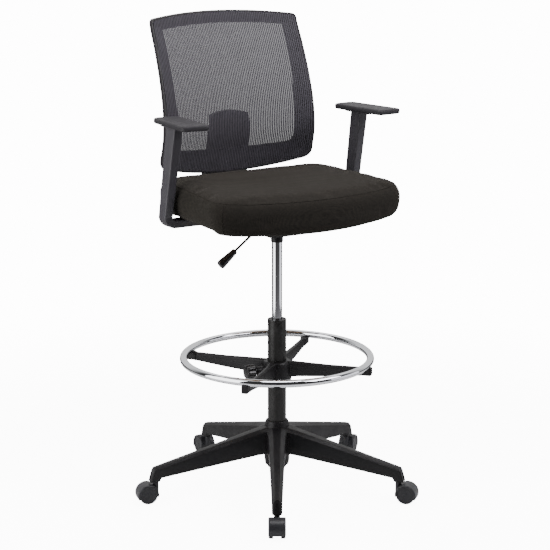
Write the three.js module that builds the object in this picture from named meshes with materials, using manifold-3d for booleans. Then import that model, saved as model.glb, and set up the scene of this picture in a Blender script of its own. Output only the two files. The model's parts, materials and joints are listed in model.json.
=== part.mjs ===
// Drafting chair: a high swivel chair on a five-arm base with twin-wheel casters, a gas column,
// a height-adjustable foot ring, an upholstered seat, fixed T-shaped armrests and a mesh back.
// Units are millimetres, +Z is up, the sitter faces -Y and +X is on the sitter's left.
// The origin lies on the floor, under the middle of the chair's overall length and width.

import * as THREE from 'three';
import { mergeVertices } from 'three/addons/utils/BufferGeometryUtils.js';
import Module from 'manifold-3d';

const wasm = await Module();
wasm.setup();

// ---------------------------------------------------------------- driving dimensions
const COLUMN_X = 5.8;
const COLUMN_Y = -25.6;
const BASE_TURN = THREE.MathUtils.degToRad(-32.7);
const GAP = 0.3;
const CLEARANCE = 0.4;

// five-arm base
const ARM_COUNT = 5;
const ARM_LENGTH = 340;
const ARM_TOP_SLOPE = 0.268;
const ARM_BOTTOM_SLOPE = 0.143;
const ARM_FOOT_RADIUS = 326;
const ARM_FOOT_HEIGHT = 66.5;
const ARM_BEVEL = 8;
const ARM_RIDGE_SHARE = 0.48;
const STEM_RADIUS_OUT = 338;
const HUB_RADIUS = 35;
const HUB_BOTTOM = 70;
const HUB_TOP = 194;
const ARM_END_BOTTOM = 57;
const ARM_END_TOP = 96;
const STEM_TOP = 76.5;
const SOCKET_TOP = 78;

// casters
const WHEEL_RADIUS = 25;
const WHEEL_WIDTH = 12;
const WHEEL_SIDES = 20;
const WHEEL_OFFSET = 15.5;
const CASTER_TRAIL = 23.5;
const CASTER_REST_TURN = [0, 0, 17, -6.8, 0];
const AXLE_RADIUS = 3;
const HOOD_RADIUS = 28.5;
const HOOD_INNER_RADIUS = 26.1;
const HOOD_WIDTH = 44.8;
const WEB_WIDTH = 16.8;
const STEM_PIN_RADIUS = 5;

// gas column
const OUTER_TUBE_RADIUS = 25;
const OUTER_TUBE_WALL = 2;
const OUTER_TUBE_BOTTOM = 62;
const OUTER_TUBE_TOP = 474;
const PRESSURE_TUBE_RADIUS = 14;
const PRESSURE_TUBE_BOTTOM = 300;
const PRESSURE_TUBE_TOP = 741.5;
const COLLAR_BOTTOM = 682;
const COLLAR_TOP = 699.5;
const PIN_RADIUS = 3;
const PIN_TOP = 747;

// foot ring
const RING_RADIUS = 249;
const RING_TUBE_RADIUS = 10;
const RING_HEIGHT = 368;
const SPIDER_BOTTOM = 300;
const SPIDER_TOP = 360;
const SPIDER_RADIUS = 40;
const SPIDER_FIRST_ARM = -18.5;
const KNOB_ANGLE = 205;
const KNOB_HEIGHT = 336;
const KNOB_RADIUS = 20;
const KNOB_START = 67;
const KNOB_END = 92;

// seat and mechanism
const PLATE_TOP = 757;
const PLATE_THICKNESS = 3;
const PLATE_SIZE_X = 230;
const PLATE_SIZE_Y = 170;
const PLATE_BOLT_X = 95;
const PLATE_BOLT_Y = 62;
const HOUSING_BOTTOM = 706;
const BOARD_BOTTOM = PLATE_TOP + GAP;
const BOARD_THICKNESS = 12;
const BOARD_INSET = 27;
const SEAT_REAR_HALF = 251;
const SEAT_REAR_Y = 183;
const SEAT_FRONT_HALF = 280;
const SEAT_FRONT_Y = -165;
const SEAT_FRONT_BOW = 52;
const SEAT_CORNER_RADIUS = 40;
const SEAT_TOP_REAR = 846.5;
const SEAT_TOP_DROP = 10;
const SEAT_BOTTOM = 762.5;
const SEAT_FRONT_SAG = 24;
const SEAT_WRAP_DROP = 5;
const SEAT_BULGE = 11.5;

// lever under the seat
const PIVOT_X = -31;
const PIVOT_Z = 742;
const LEVER_Y = -10;
const LEVER_START = new THREE.Vector3(-60, LEVER_Y, 729.6);
const LEVER_END = new THREE.Vector3(-181.6, LEVER_Y, 641);
const LEVER_ROD_RADIUS = 3.5;
const HANDLE_LENGTH = 58;

// armrests
const PAD_TOP = 1021;
const PAD_THICKNESS = 15;
const PAD_LENGTH = 196;
const PAD_WIDTH = 73;
const PAD_X = 285;
const PAD_Y = 2;
const PAD_TOE_OUT = THREE.MathUtils.degToRad(5.4);
const UPRIGHT_TOP_X = 284;
const UPRIGHT_X = 289;
const UPRIGHT_TOP_Y = 33;
const UPRIGHT_BOTTOM_Y = 79;
const UPRIGHT_THICKNESS = 24.5;
const UPRIGHT_WIDTH_TOP = 45.5;
const UPRIGHT_WIDTH_BOTTOM = 36;
const ELBOW_RADIUS = 22;
const BRACKET_THICKNESS = 21;
const BRACKET_WIDTH = 40;
const BRACKET_Z = PLATE_TOP - BRACKET_THICKNESS / 2;
const BRACKET_INNER_X = 150;
const ARM_BOLT_X = 178;

// backrest: points of the frame's side edge, at even heights from bottom to top
const BACK_EDGE_Z = [872, 947, 1022, 1098, 1173, 1248];
const BACK_EDGE_Y = [190, 173.5, 177, 196, 224, 255];
const SLOPE_BELOW = -0.25;
const SLOPE_ABOVE = 0.4;
const BACK_CURVE_DEPTH = 40;
const BACK_BOTTOM = 867;
const BACK_MIDDLE = 1040;
const BACK_TOP = 1251.5;
const BACK_BOTTOM_HALF = 237;
const BACK_TOP_HALF = 225.5;
const BACK_CROWN = 15.5;
const BACK_BOW = 32;
const BOW_REACH = 170;
const FRAME_THICKNESS = 16;
const FRAME_BAND = { sideTop: 34.5, sideBottom: 53.5, top: 33, bottom: 51 };
const MESH_THICKNESS = 2;
const MESH_CLEARANCE = 1.2;
const COVER_HALF = 67;
const COVER_TAPER = 0.06;
const COVER_TOP = 1003;
const COVER_BOTTOM = 824;
const COVER_OFFSET = FRAME_THICKNESS + 1.5;
const COVER_THICKNESS = 24.5;
const BAR_WIDTH = 70;
const BAR_THICKNESS = 8;

// ---------------------------------------------------------------- solid helpers

// Merges shared corners, drops triangles without area and turns the faces outwards.
function closedMesh(geometry) {
  const bare = geometry.clone();
  bare.deleteAttribute('normal');
  bare.deleteAttribute('uv');
  const merged = mergeVertices(bare, 1e-3);
  const points = merged.getAttribute('position').array;
  const faces = merged.getIndex().array;
  const kept = [];
  let volume = 0;
  for (let i = 0; i < faces.length; i += 3) {
    const [a, b, c] = [faces[i], faces[i + 1], faces[i + 2]];
    if (a === b || b === c || c === a) continue;
    kept.push(a, b, c);
    const [p, q, r] = [a, b, c].map((k) => new THREE.Vector3().fromArray(points, 3 * k));
    volume += p.dot(q.cross(r));
  }
  if (volume < 0) kept.reverse();
  return { numProp: 3, vertProperties: new Float32Array(points), triVerts: new Uint32Array(kept) };
}

function solid(shape) {
  if (shape instanceof wasm.Manifold) return shape;
  return new wasm.Manifold(new wasm.Mesh(closedMesh(shape)));
}

function join(first, ...others) {
  return others.reduce((sum, next) => sum.add(solid(next)), solid(first));
}

function cut(first, ...tools) {
  return tools.reduce((rest, tool) => rest.subtract(solid(tool)), solid(first));
}

function plainGeometry(shape) {
  const { vertProperties, triVerts } = shape instanceof wasm.Manifold ? shape.getMesh() : closedMesh(shape);
  const geometry = new THREE.BufferGeometry();
  geometry.setAttribute('position', new THREE.BufferAttribute(new Float32Array(vertProperties), 3));
  geometry.setIndex(new THREE.BufferAttribute(new Uint32Array(triVerts), 1));
  geometry.computeVertexNormals();
  return geometry;
}

function piece(name, shape, [color, roughness, metalness]) {
  const mesh = new THREE.Mesh(
    plainGeometry(shape),
    new THREE.MeshStandardMaterial({ color, roughness, metalness }),
  );
  mesh.name = name;
  return mesh;
}

// ---------------------------------------------------------------- shape helpers

// A solid of revolution about Z from [radius, height] pairs.
function turned(profile, sides = 32) {
  const points = profile.map(([r, z]) => new THREE.Vector2(r, z));
  return new THREE.LatheGeometry(points, sides).rotateX(Math.PI / 2);
}

function ring(inner, outer, bottom, top, sides = 32) {
  return turned([[inner, bottom], [outer, bottom], [outer, top], [inner, top], [inner, bottom]], sides);
}

function rod(radius, bottom, top, sides = 16) {
  return turned([[0, bottom], [radius, bottom], [radius, top], [0, top]], sides);
}

function block(x0, x1, y0, y1, z0, z1) {
  const box = new THREE.BoxGeometry(x1 - x0, y1 - y0, z1 - z0);
  return box.translate((x0 + x1) / 2, (y0 + y1) / 2, (z0 + z1) / 2);
}

// Joins equal closed loops of points one after another; both ends are closed with a fan.
function loft(loops) {
  const count = loops[0].length;
  const points = loops.flat();
  const faces = [];
  for (let k = 0; k + 1 < loops.length; k += 1) {
    for (let i = 0; i < count; i += 1) {
      const a = k * count + i;
      const b = k * count + ((i + 1) % count);
      faces.push(a, b, b + count, a, b + count, a + count);
    }
  }
  for (const [k, forward] of [[0, false], [loops.length - 1, true]]) {
    const middle = new THREE.Vector3();
    loops[k].forEach((p) => middle.addScaledVector(p, 1 / count));
    const centre = points.push(middle) - 1;
    for (let i = 0; i < count; i += 1) {
      const a = k * count + i;
      const b = k * count + ((i + 1) % count);
      faces.push(...(forward ? [centre, a, b] : [centre, b, a]));
    }
  }
  return new THREE.BufferGeometry().setFromPoints(points).setIndex(faces);
}

// A closed grid of points, round in both directions, such as a frame that meets itself.
function closedGrid(loops) {
  const rows = loops.length;
  const count = loops[0].length;
  const faces = [];
  for (let k = 0; k < rows; k += 1) {
    for (let i = 0; i < count; i += 1) {
      const a = k * count + i;
      const b = k * count + ((i + 1) % count);
      const c = ((k + 1) % rows) * count + ((i + 1) % count);
      const d = ((k + 1) % rows) * count + i;
      faces.push(a, b, c, a, c, d);
    }
  }
  return new THREE.BufferGeometry().setFromPoints(loops.flat()).setIndex(faces);
}

// Outline of a straight-sided figure with rounded corners: corners are [x, y, radius].
function roundedOutline(corners, stepsPerCorner = 4) {
  const points = [];
  corners.forEach(([x, y, radius], i) => {
    const corner = new THREE.Vector2(x, y);
    const before = corners[(i + corners.length - 1) % corners.length];
    const after = corners[(i + 1) % corners.length];
    const toBefore = new THREE.Vector2(before[0] - x, before[1] - y).normalize();
    const toAfter = new THREE.Vector2(after[0] - x, after[1] - y).normalize();
    const start = corner.clone().addScaledVector(toBefore, radius);
    const end = corner.clone().addScaledVector(toAfter, radius);
    const bend = new THREE.QuadraticBezierCurve(start, corner, end);
    points.push(...bend.getPoints(stepsPerCorner));
  });
  return points;
}

function extruded(outline, depth) {
  return new THREE.ExtrudeGeometry(new THREE.Shape(outline), { depth, bevelEnabled: false });
}

// ---------------------------------------------------------------- finishes: colour, roughness, metalness
const NYLON = [0x1c1b1e, 0.42, 0];
const CASTER_NYLON = [0x222226, 0.38, 0];
const BLACK_STEEL = [0x161616, 0.35, 0.3];
const CHROME = [0xd8dade, 0.08, 1];
const BARE_STEEL = [0x9a9a9c, 0.35, 1];
const WHITE_PLASTIC = [0xd8d6d0, 0.5, 0];
const SEAT_FABRIC = [0x2a2622, 0.95, 0];
const PLYWOOD = [0xb8905e, 0.7, 0];
const ARM_PLASTIC = [0x2e2c30, 0.5, 0];
const PAD_FOAM = [0x343238, 0.6, 0];
const BACK_PLASTIC = [0x1d1b1d, 0.5, 0];
const MESH_FABRIC = [0x4a464e, 0.85, 0];

// ---------------------------------------------------------------- five-arm base

function armTop(r) {
  return ARM_END_TOP + (ARM_LENGTH - r) * ARM_TOP_SLOPE;
}

function armBottom(r) {
  return ARM_FOOT_HEIGHT + (ARM_FOOT_RADIUS - r) * ARM_BOTTOM_SLOPE;
}

// Section of an arm at radius r: flat ridge, two bevels, upright sides.
// lean moves the section's foot outwards, for the sloping end face.
function armSection(r, width, top, bottom, lean = 0) {
  const half = width / 2;
  const ridge = half * ARM_RIDGE_SHARE;
  const outline = [
    [half - 1.5, bottom], [half, bottom + 4], [half, top - ARM_BEVEL], [ridge, top],
    [-ridge, top], [-half, top - ARM_BEVEL], [-half, bottom + 4], [-half + 1.5, bottom],
  ];
  return outline.map(([y, z]) => new THREE.Vector3(r + (lean * (top - z)) / (top - bottom), y, z));
}

function baseArm() {
  const widths = [[22, 58], [60, 46], [120, 39.5], [190, 35], [260, 31], [324, 27.5]];
  const loops = widths.map(([r, width]) => armSection(r, width, armTop(r), armBottom(r)));
  loops.push(armSection(ARM_LENGTH - 11, 27.2, armTop(ARM_LENGTH - 11), ARM_END_BOTTOM));
  loops.push(armSection(ARM_LENGTH + 1, 26.6, armTop(ARM_LENGTH + 1), ARM_END_BOTTOM, 10));
  loops.push(armSection(ARM_LENGTH + 4.5, 20, armTop(ARM_LENGTH + 5), ARM_END_BOTTOM, 11));
  return loft(loops);
}

// Hollows between the ribs on an arm's underside.
function armPockets() {
  const wall = 4.5;
  const edges = [[78, 130], [136, 190], [196, 250], [256, 310]];
  return edges.map(([from, to]) => {
    const loops = [from, to].map((r) => {
      const half = (46 - (r - 60) * 0.07) / 2 - wall;
      const top = armTop(r) - 14;
      const bottom = armBottom(r) - 5;
      return [[half, bottom], [half, top], [-half, top], [-half, bottom]]
        .map(([y, z]) => new THREE.Vector3(r, y, z));
    });
    return loft(loops);
  });
}

function starBase() {
  const hub = turned([
    [0, HUB_BOTTOM], [HUB_RADIUS - 3.5, HUB_BOTTOM], [HUB_RADIUS - 2, 80],
    [HUB_RADIUS, 100], [HUB_RADIUS, 150], [HUB_RADIUS - 1.4, 178],
    [HUB_RADIUS - 3.8, 190], [HUB_RADIUS - 5.6, HUB_TOP], [0, HUB_TOP],
  ], 28);
  let body = solid(hub);
  for (let k = 0; k < ARM_COUNT; k += 1) {
    const turn = (2 * Math.PI * k) / ARM_COUNT - Math.PI / 2;
    const socket = rod(STEM_PIN_RADIUS + CLEARANCE, ARM_END_BOTTOM - 5, SOCKET_TOP)
      .translate(STEM_RADIUS_OUT, 0, 0);
    const arm = cut(baseArm(), ...armPockets(), socket);
    body = body.add(arm.rotate([0, 0, THREE.MathUtils.radToDeg(turn)]));
  }
  return cut(body, rod(OUTER_TUBE_RADIUS + CLEARANCE, 0, 300, 32));
}

// ---------------------------------------------------------------- casters
// Caster frame: the stem axis is the Z axis and the wheels trail towards +X.

function casterStem() {
  return turned([
    [0, 31], [4.2, 31], [STEM_PIN_RADIUS, 32], [STEM_PIN_RADIUS, STEM_TOP - 2.5],
    [3.8, STEM_TOP], [0, STEM_TOP],
  ], 14);
}

function casterHood() {
  const [start, end] = [THREE.MathUtils.degToRad(-22), THREE.MathUtils.degToRad(190)];
  const fender = new THREE.Shape();
  fender.absarc(0, 0, HOOD_RADIUS, start, end, false);
  fender.absarc(0, 0, HOOD_INNER_RADIUS, end, start, true);
  const options = { curveSegments: 10, bevelEnabled: false };
  const cover = new THREE.ExtrudeGeometry(fender, { depth: HOOD_WIDTH, ...options });
  const webShape = new THREE.Shape();
  webShape.absarc(0, 0, HOOD_INNER_RADIUS + 0.7, start, end, false);
  const web = new THREE.ExtrudeGeometry(webShape, { depth: WEB_WIDTH, ...options });
  const place = (shape, depth) => shape.translate(0, 0, -depth / 2).rotateX(Math.PI / 2)
    .translate(CASTER_TRAIL, 0, WHEEL_RADIUS);
  const boss = rod(8, 26, 55.6, 14);
  const axleBore = rod(AXLE_RADIUS + CLEARANCE, -30, 30, 10).rotateX(Math.PI / 2)
    .translate(CASTER_TRAIL, 0, WHEEL_RADIUS);
  const stemBore = rod(STEM_PIN_RADIUS + CLEARANCE, 30, 60, 14);
  const body = join(place(cover, HOOD_WIDTH), place(web, WEB_WIDTH), boss);
  return cut(body, axleBore, stemBore);
}

function casterAxle() {
  return rod(AXLE_RADIUS, -17.3, 17.3, 10).rotateX(Math.PI / 2);
}

// side is +1 or -1: the closed face of a wheel looks away from the hood.
function casterWheel(side) {
  const rim = WHEEL_RADIUS / Math.cos(Math.PI / WHEEL_SIDES);
  const half = WHEEL_WIDTH / 2;
  const profile = [
    [0, 2.2], [AXLE_RADIUS + CLEARANCE, 2.2], [AXLE_RADIUS + CLEARANCE, -half], [rim - 1, -half],
    [rim, -half + 1], [rim, half - 1.6], [rim - 2, half], [0, half],
  ];
  const wheel = turned(profile, WHEEL_SIDES).rotateZ(Math.PI / WHEEL_SIDES);
  return wheel.rotateX((-side * Math.PI) / 2);
}

function casters() {
  const group = new THREE.Group();
  for (let k = 0; k < ARM_COUNT; k += 1) {
    const caster = new THREE.Group();
    const turn = (2 * Math.PI * k) / ARM_COUNT - Math.PI / 2;
    caster.position.set(STEM_RADIUS_OUT * Math.cos(turn), STEM_RADIUS_OUT * Math.sin(turn), 0);
    caster.rotation.z = turn + THREE.MathUtils.degToRad(CASTER_REST_TURN[k]);
    const number = k + 1;
    caster.add(piece(`caster_${number}_stem`, casterStem(), BARE_STEEL));
    caster.add(piece(`caster_${number}_hood`, casterHood(), CASTER_NYLON));
    const axle = piece(`caster_${number}_axle`, casterAxle(), BARE_STEEL);
    axle.position.set(CASTER_TRAIL, 0, WHEEL_RADIUS);
    caster.add(axle);
    for (const [side, label] of [[1, 'left'], [-1, 'right']]) {
      const wheel = piece(`caster_${number}_wheel_${label}`, casterWheel(side), CASTER_NYLON);
      wheel.position.set(CASTER_TRAIL, side * WHEEL_OFFSET, WHEEL_RADIUS);
      caster.add(wheel);
    }
    group.add(caster);
  }
  return group;
}

// ---------------------------------------------------------------- gas column

function outerTube() {
  const inner = OUTER_TUBE_RADIUS - OUTER_TUBE_WALL;
  const floor = OUTER_TUBE_BOTTOM + 4;
  return turned([
    [6.5, OUTER_TUBE_BOTTOM], [OUTER_TUBE_RADIUS - 1, OUTER_TUBE_BOTTOM], [OUTER_TUBE_RADIUS, 64],
    [OUTER_TUBE_RADIUS, OUTER_TUBE_TOP - 2.5], [OUTER_TUBE_RADIUS - 1.2, OUTER_TUBE_TOP],
    [inner, OUTER_TUBE_TOP], [inner, floor], [6.5, floor], [6.5, OUTER_TUBE_BOTTOM],
  ], 32);
}

function guideBush() {
  const outer = OUTER_TUBE_RADIUS - OUTER_TUBE_WALL - GAP;
  return ring(PRESSURE_TUBE_RADIUS + 0.35, outer, OUTER_TUBE_TOP - 82, OUTER_TUBE_TOP - 1.5, 32);
}

function thrustBearing() {
  return ring(5.5, 12, OUTER_TUBE_BOTTOM + 4.3, OUTER_TUBE_BOTTOM + 8.6, 20);
}

function retainingClip() {
  return ring(4.4, 8, 59.7, 61.5, 16);
}

// The piston rod stands on the tube's floor plate; its head runs inside the pressure tube.
function pistonRod() {
  return turned([
    [0, 57.5], [5, 57.5], [5, 59.3], [4, 59.3], [4, 61.8], [5, 61.8], [5, 71],
    [8.5, 71], [8.5, 74], [5, 74], [5, 332], [11.4, 332], [11.4, 346], [0, 346],
  ], 12);
}

function pressureTube() {
  return turned([
    [PIN_RADIUS + CLEARANCE, PRESSURE_TUBE_TOP], [12.8, PRESSURE_TUBE_TOP], [13.3, 738],
    [PRESSURE_TUBE_RADIUS, 702], [PRESSURE_TUBE_RADIUS, PRESSURE_TUBE_BOTTOM + 1],
    [PRESSURE_TUBE_RADIUS - 0.8, PRESSURE_TUBE_BOTTOM], [12.2, PRESSURE_TUBE_BOTTOM],
    [12.2, 716], [PIN_RADIUS + CLEARANCE, 716], [PIN_RADIUS + CLEARANCE, PRESSURE_TUBE_TOP],
  ], 28);
}

function rodGland() {
  return ring(5.4, 11.9, PRESSURE_TUBE_BOTTOM + 1, PRESSURE_TUBE_BOTTOM + 13, 20);
}

function releasePin() {
  return turned([[0, 708], [PIN_RADIUS, 708], [PIN_RADIUS, PIN_TOP - 0.8], [2.2, PIN_TOP], [0, PIN_TOP]], 12);
}

function columnCollar() {
  const inner = PRESSURE_TUBE_RADIUS + 0.35;
  return turned([
    [inner, COLLAR_BOTTOM], [15.2, COLLAR_BOTTOM], [16.4, COLLAR_BOTTOM + 2], [16.4, COLLAR_TOP],
    [inner, COLLAR_TOP], [inner, COLLAR_BOTTOM],
  ], 28);
}

// ---------------------------------------------------------------- foot ring

// Section of a spider arm at radius r: a tall rib with a bevelled top.
function ribSection(r, width, top, bottom) {
  const half = width / 2;
  return [[half * 0.75, bottom], [half, bottom + 3], [half, top - 3], [half * 0.6, top],
    [-half * 0.6, top], [-half, top - 3], [-half, bottom + 3], [-half * 0.75, bottom]]
    .map(([y, z]) => new THREE.Vector3(r, y, z));
}

function spiderArm() {
  const rib = loft([
    ribSection(30, 22, 361, 317), ribSection(60, 14, 361, 321), ribSection(150, 12, 360, 329),
    ribSection(232, 13, 361.5, 339),
  ]);
  const saddle = loft([
    ribSection(229, 14, 361.6, 339.5), ribSection(235, 18, 364, 340),
    ribSection(258, 18, 364, 340), ribSection(261, 14, 362, 343),
  ]);
  const seat = rod(RING_TUBE_RADIUS + 0.6, -30, 30, 16).rotateX(Math.PI / 2)
    .translate(RING_RADIUS, 0, RING_HEIGHT);
  return cut(join(rib, saddle), seat);
}

function footringHub() {
  const hub = turned([
    [0, SPIDER_BOTTOM], [36, SPIDER_BOTTOM], [38, SPIDER_BOTTOM + 4], [SPIDER_RADIUS, 318],
    [SPIDER_RADIUS, 346], [37, SPIDER_TOP - 3], [34, SPIDER_TOP], [0, SPIDER_TOP],
  ], 32);
  let body = solid(hub);
  for (let k = 0; k < 4; k += 1) {
    body = body.add(spiderArm().rotate([0, 0, SPIDER_FIRST_ARM + 90 * k]));
  }
  const boss = rod(12, 30, KNOB_START - 6, 14).rotateY(Math.PI / 2).translate(0, 0, KNOB_HEIGHT);
  const bore = rod(4.4, 10, 100, 12).rotateY(Math.PI / 2).translate(0, 0, KNOB_HEIGHT);
  body = body.add(solid(boss).rotate([0, 0, KNOB_ANGLE]));
  body = body.subtract(solid(bore).rotate([0, 0, KNOB_ANGLE]));
  return cut(body, rod(OUTER_TUBE_RADIUS + 0.5, 0, 500, 32));
}

function footRing() {
  return new THREE.TorusGeometry(RING_RADIUS, RING_TUBE_RADIUS, 8, 48).translate(0, 0, RING_HEIGHT);
}

function clampStud() {
  return rod(4, OUTER_TUBE_RADIUS + CLEARANCE, KNOB_END - 6, 12);
}

function clampKnob() {
  const outline = [];
  const lobes = 8;
  const steps = 32;
  for (let i = 0; i < steps; i += 1) {
    const angle = (2 * Math.PI * i) / steps;
    const radius = KNOB_RADIUS - 1 + Math.cos(lobes * angle);
    outline.push(new THREE.Vector2(radius * Math.cos(angle), radius * Math.sin(angle)));
  }
  const depth = KNOB_END - KNOB_START;
  const head = new THREE.ExtrudeGeometry(new THREE.Shape(outline), {
    depth: depth - 4, bevelThickness: 2, bevelSize: 1.6, bevelOffset: -1.6, bevelSegments: 1,
  }).translate(0, 0, KNOB_START + 2);
  const neck = rod(10, KNOB_START - 5.5, KNOB_START + 4, 14);
  return cut(join(head, neck), rod(4.35, 0, KNOB_END - 5.6, 12));
}

function footringGroup() {
  const group = new THREE.Group();
  group.add(piece('footring_hub', footringHub(), NYLON));
  group.add(piece('foot_ring', footRing(), CHROME));
  const clamp = new THREE.Group();
  clamp.position.set(0, 0, KNOB_HEIGHT);
  clamp.rotation.set(0, Math.PI / 2, THREE.MathUtils.degToRad(KNOB_ANGLE), 'ZYX');
  clamp.add(piece('clamp_stud', clampStud(), BARE_STEEL));
  clamp.add(piece('clamp_knob', clampKnob(), NYLON));
  group.add(clamp);
  return group;
}

// ---------------------------------------------------------------- seat

// Plan outline of the seat, moved outwards by grow.
function seatOutline(grow = 0) {
  const outline = roundedOutline([
    [SEAT_REAR_HALF, SEAT_REAR_Y, SEAT_CORNER_RADIUS], [-SEAT_REAR_HALF, SEAT_REAR_Y, SEAT_CORNER_RADIUS],
    [-SEAT_FRONT_HALF, SEAT_FRONT_Y, SEAT_CORNER_RADIUS], [SEAT_FRONT_HALF, SEAT_FRONT_Y, SEAT_CORNER_RADIUS],
  ], 5);
  const middleY = (SEAT_REAR_Y + SEAT_FRONT_Y) / 2;
  return outline.flatMap((p, i) => {
    const next = outline[(i + 1) % outline.length];
    const between = p.distanceTo(next) > 90 ? [0, 1, 2, 3].map((k) => p.clone().lerp(next, k / 4)) : [p];
    return between.map((q) => {
      const bow = q.y < middleY ? SEAT_FRONT_BOW * (1 - (q.x / SEAT_FRONT_HALF) ** 2) : 0;
      const scaleX = 1 + grow / SEAT_FRONT_HALF;
      const scaleY = 1 + grow / (SEAT_REAR_Y - middleY);
      return new THREE.Vector2(q.x * scaleX, middleY + (q.y - bow - middleY) * scaleY);
    });
  });
}

function seatTop(y) {
  const forward = Math.max(0, SEAT_REAR_Y - y) / (SEAT_REAR_Y - SEAT_FRONT_Y);
  return SEAT_TOP_REAR - SEAT_TOP_DROP * forward ** 2.8;
}

function seatBottom(y) {
  const forward = THREE.MathUtils.clamp((-110 - y) / 120, 0, 1);
  return SEAT_BOTTOM - SEAT_FRONT_SAG * forward ** 1.4;
}

// level 0 is the seat's lower edge and 1 its upper edge.
function seatLoop(grow, level, lift = 0) {
  return seatOutline(grow).map((p) => {
    const low = seatBottom(p.y);
    const high = seatTop(p.y);
    return new THREE.Vector3(p.x, p.y, low + (high - low) * level + lift);
  });
}

function seatBoard() {
  const board = extruded(seatOutline(-BOARD_INSET), BOARD_THICKNESS).translate(0, 0, BOARD_BOTTOM);
  const holes = [];
  for (const x of [-PLATE_BOLT_X, PLATE_BOLT_X]) {
    for (const y of [-PLATE_BOLT_Y, PLATE_BOLT_Y]) holes.push([x, y]);
  }
  holes.push([ARM_BOLT_X, UPRIGHT_BOTTOM_Y], [-ARM_BOLT_X, UPRIGHT_BOTTOM_Y]);
  return cut(board, ...holes.map(([x, y]) => rod(3.4, 740, 767, 12).translate(x, y, 0)));
}

function seatCushion() {
  const pad = loft([
    seatLoop(-BOARD_INSET - 14, 0, -SEAT_WRAP_DROP), seatLoop(-BOARD_INSET + 5, 0, -SEAT_WRAP_DROP),
    seatLoop(-5, -0.02), seatLoop(6, 0.12), seatLoop(SEAT_BULGE, 0.45),
    seatLoop(SEAT_BULGE - 1, 0.72), seatLoop(3, 0.91), seatLoop(-8, 0.99), seatLoop(-30, 1.06),
    seatLoop(-80, 1.08), seatLoop(-140, 1.09),
  ]);
  const recess = extruded(seatOutline(GAP - BOARD_INSET), 60)
    .translate(0, 0, BOARD_BOTTOM + BOARD_THICKNESS + GAP - 60);
  return cut(pad, recess);
}

// ---------------------------------------------------------------- mechanism under the seat

function plateOutline() {
  const [x, y] = [PLATE_SIZE_X / 2, PLATE_SIZE_Y / 2];
  return roundedOutline([[x, y, 14], [-x, y, 14], [-x, -y, 14], [x, -y, 14]], 3);
}

function mechanismHousing() {
  const under = PLATE_TOP - PLATE_THICKNESS;
  const plate = extruded(plateOutline(), PLATE_THICKNESS).translate(0, 0, under);
  const shell = cut(
    block(-52, 52, -55, 55, HOUSING_BOTTOM, under + 1),
    block(-49, 49, -52, 52, HOUSING_BOTTOM - 10, under),
  );
  const leverSlot = block(-60, -44, -15, -4.8, 722, 749);
  const webs = [-17, 17].map((y) => block(-50, 50, y - 1.5, y + 1.5, 714, under + 1));
  const socket = rod(18, 700, 740.5, 28);
  const pinBore = rod(PIN_RADIUS + 0.35, -40, 40, 12).rotateX(Math.PI / 2).translate(PIVOT_X, 0, PIVOT_Z);
  const bolts = [];
  for (const x of [-PLATE_BOLT_X, PLATE_BOLT_X]) {
    for (const y of [-PLATE_BOLT_Y, PLATE_BOLT_Y]) bolts.push(rod(3.4, 740, 760, 12).translate(x, y, 0));
  }
  const body = join(shell, plate, ...webs, socket);
  return cut(body, leverSlot, rod(PRESSURE_TUBE_RADIUS + CLEARANCE, 600, 741, 28), pinBore, ...bolts);
}

function pivotPin() {
  return rod(PIN_RADIUS, -24, 24, 12).rotateX(Math.PI / 2).translate(PIVOT_X, 0, PIVOT_Z);
}

// Bolt with a six-sided head under the face at z = seat, its shank pointing up.
function bolt(x, y, seat, shank) {
  const head = rod(5.8, seat - GAP - 4, seat - GAP, 6);
  const body = rod(3, seat - GAP - 1, seat + shank, 12);
  return join(head, body).translate([x, y, 0]);
}

function leverRod() {
  const direction = LEVER_END.clone().sub(LEVER_START).normalize();
  const rodEnd = LEVER_END.clone().addScaledVector(direction, -HANDLE_LENGTH + 38);
  const path = new THREE.CatmullRomCurve3([
    new THREE.Vector3(PIVOT_X - 1, LEVER_Y, PIVOT_Z - 1), new THREE.Vector3(-46, LEVER_Y, 738.5),
    LEVER_START, LEVER_START.clone().lerp(rodEnd, 0.4), rodEnd,
  ], false, 'centripetal');
  const section = new THREE.Shape();
  section.absarc(0, 0, LEVER_ROD_RADIUS, 0, 2 * Math.PI, false);
  const bar = new THREE.ExtrudeGeometry(section, { steps: 12, curveSegments: 4, extrudePath: path });
  const boss = rod(6, -5, 14, 16).rotateX(Math.PI / 2).translate(PIVOT_X, 0, PIVOT_Z);
  const paddle = block(PIVOT_X, 5, -5, 5, PIN_TOP + GAP, PIN_TOP + GAP + 3);
  const hole = rod(PIN_RADIUS + 0.35, -40, 40, 12).rotateX(Math.PI / 2).translate(PIVOT_X, 0, PIVOT_Z);
  return cut(join(boss, paddle, bar), hole);
}

function leverHandle() {
  const grip = turned([
    [0, 0], [6.8, 0], [7.8, 2], [8.8, 12], [11, 34], [12.6, HANDLE_LENGTH - 9],
    [12.2, HANDLE_LENGTH - 3], [9, HANDLE_LENGTH], [0, HANDLE_LENGTH],
  ], 18);
  const body = cut(grip, rod(LEVER_ROD_RADIUS + CLEARANCE, -5, 40, 12));
  const mesh = piece('lever_handle', body, NYLON);
  const direction = LEVER_END.clone().sub(LEVER_START).normalize();
  mesh.position.copy(LEVER_END).addScaledVector(direction, -HANDLE_LENGTH);
  mesh.quaternion.setFromUnitVectors(new THREE.Vector3(0, 0, 1), direction);
  return mesh;
}

// ---------------------------------------------------------------- armrests (side is +1 or -1)

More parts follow.
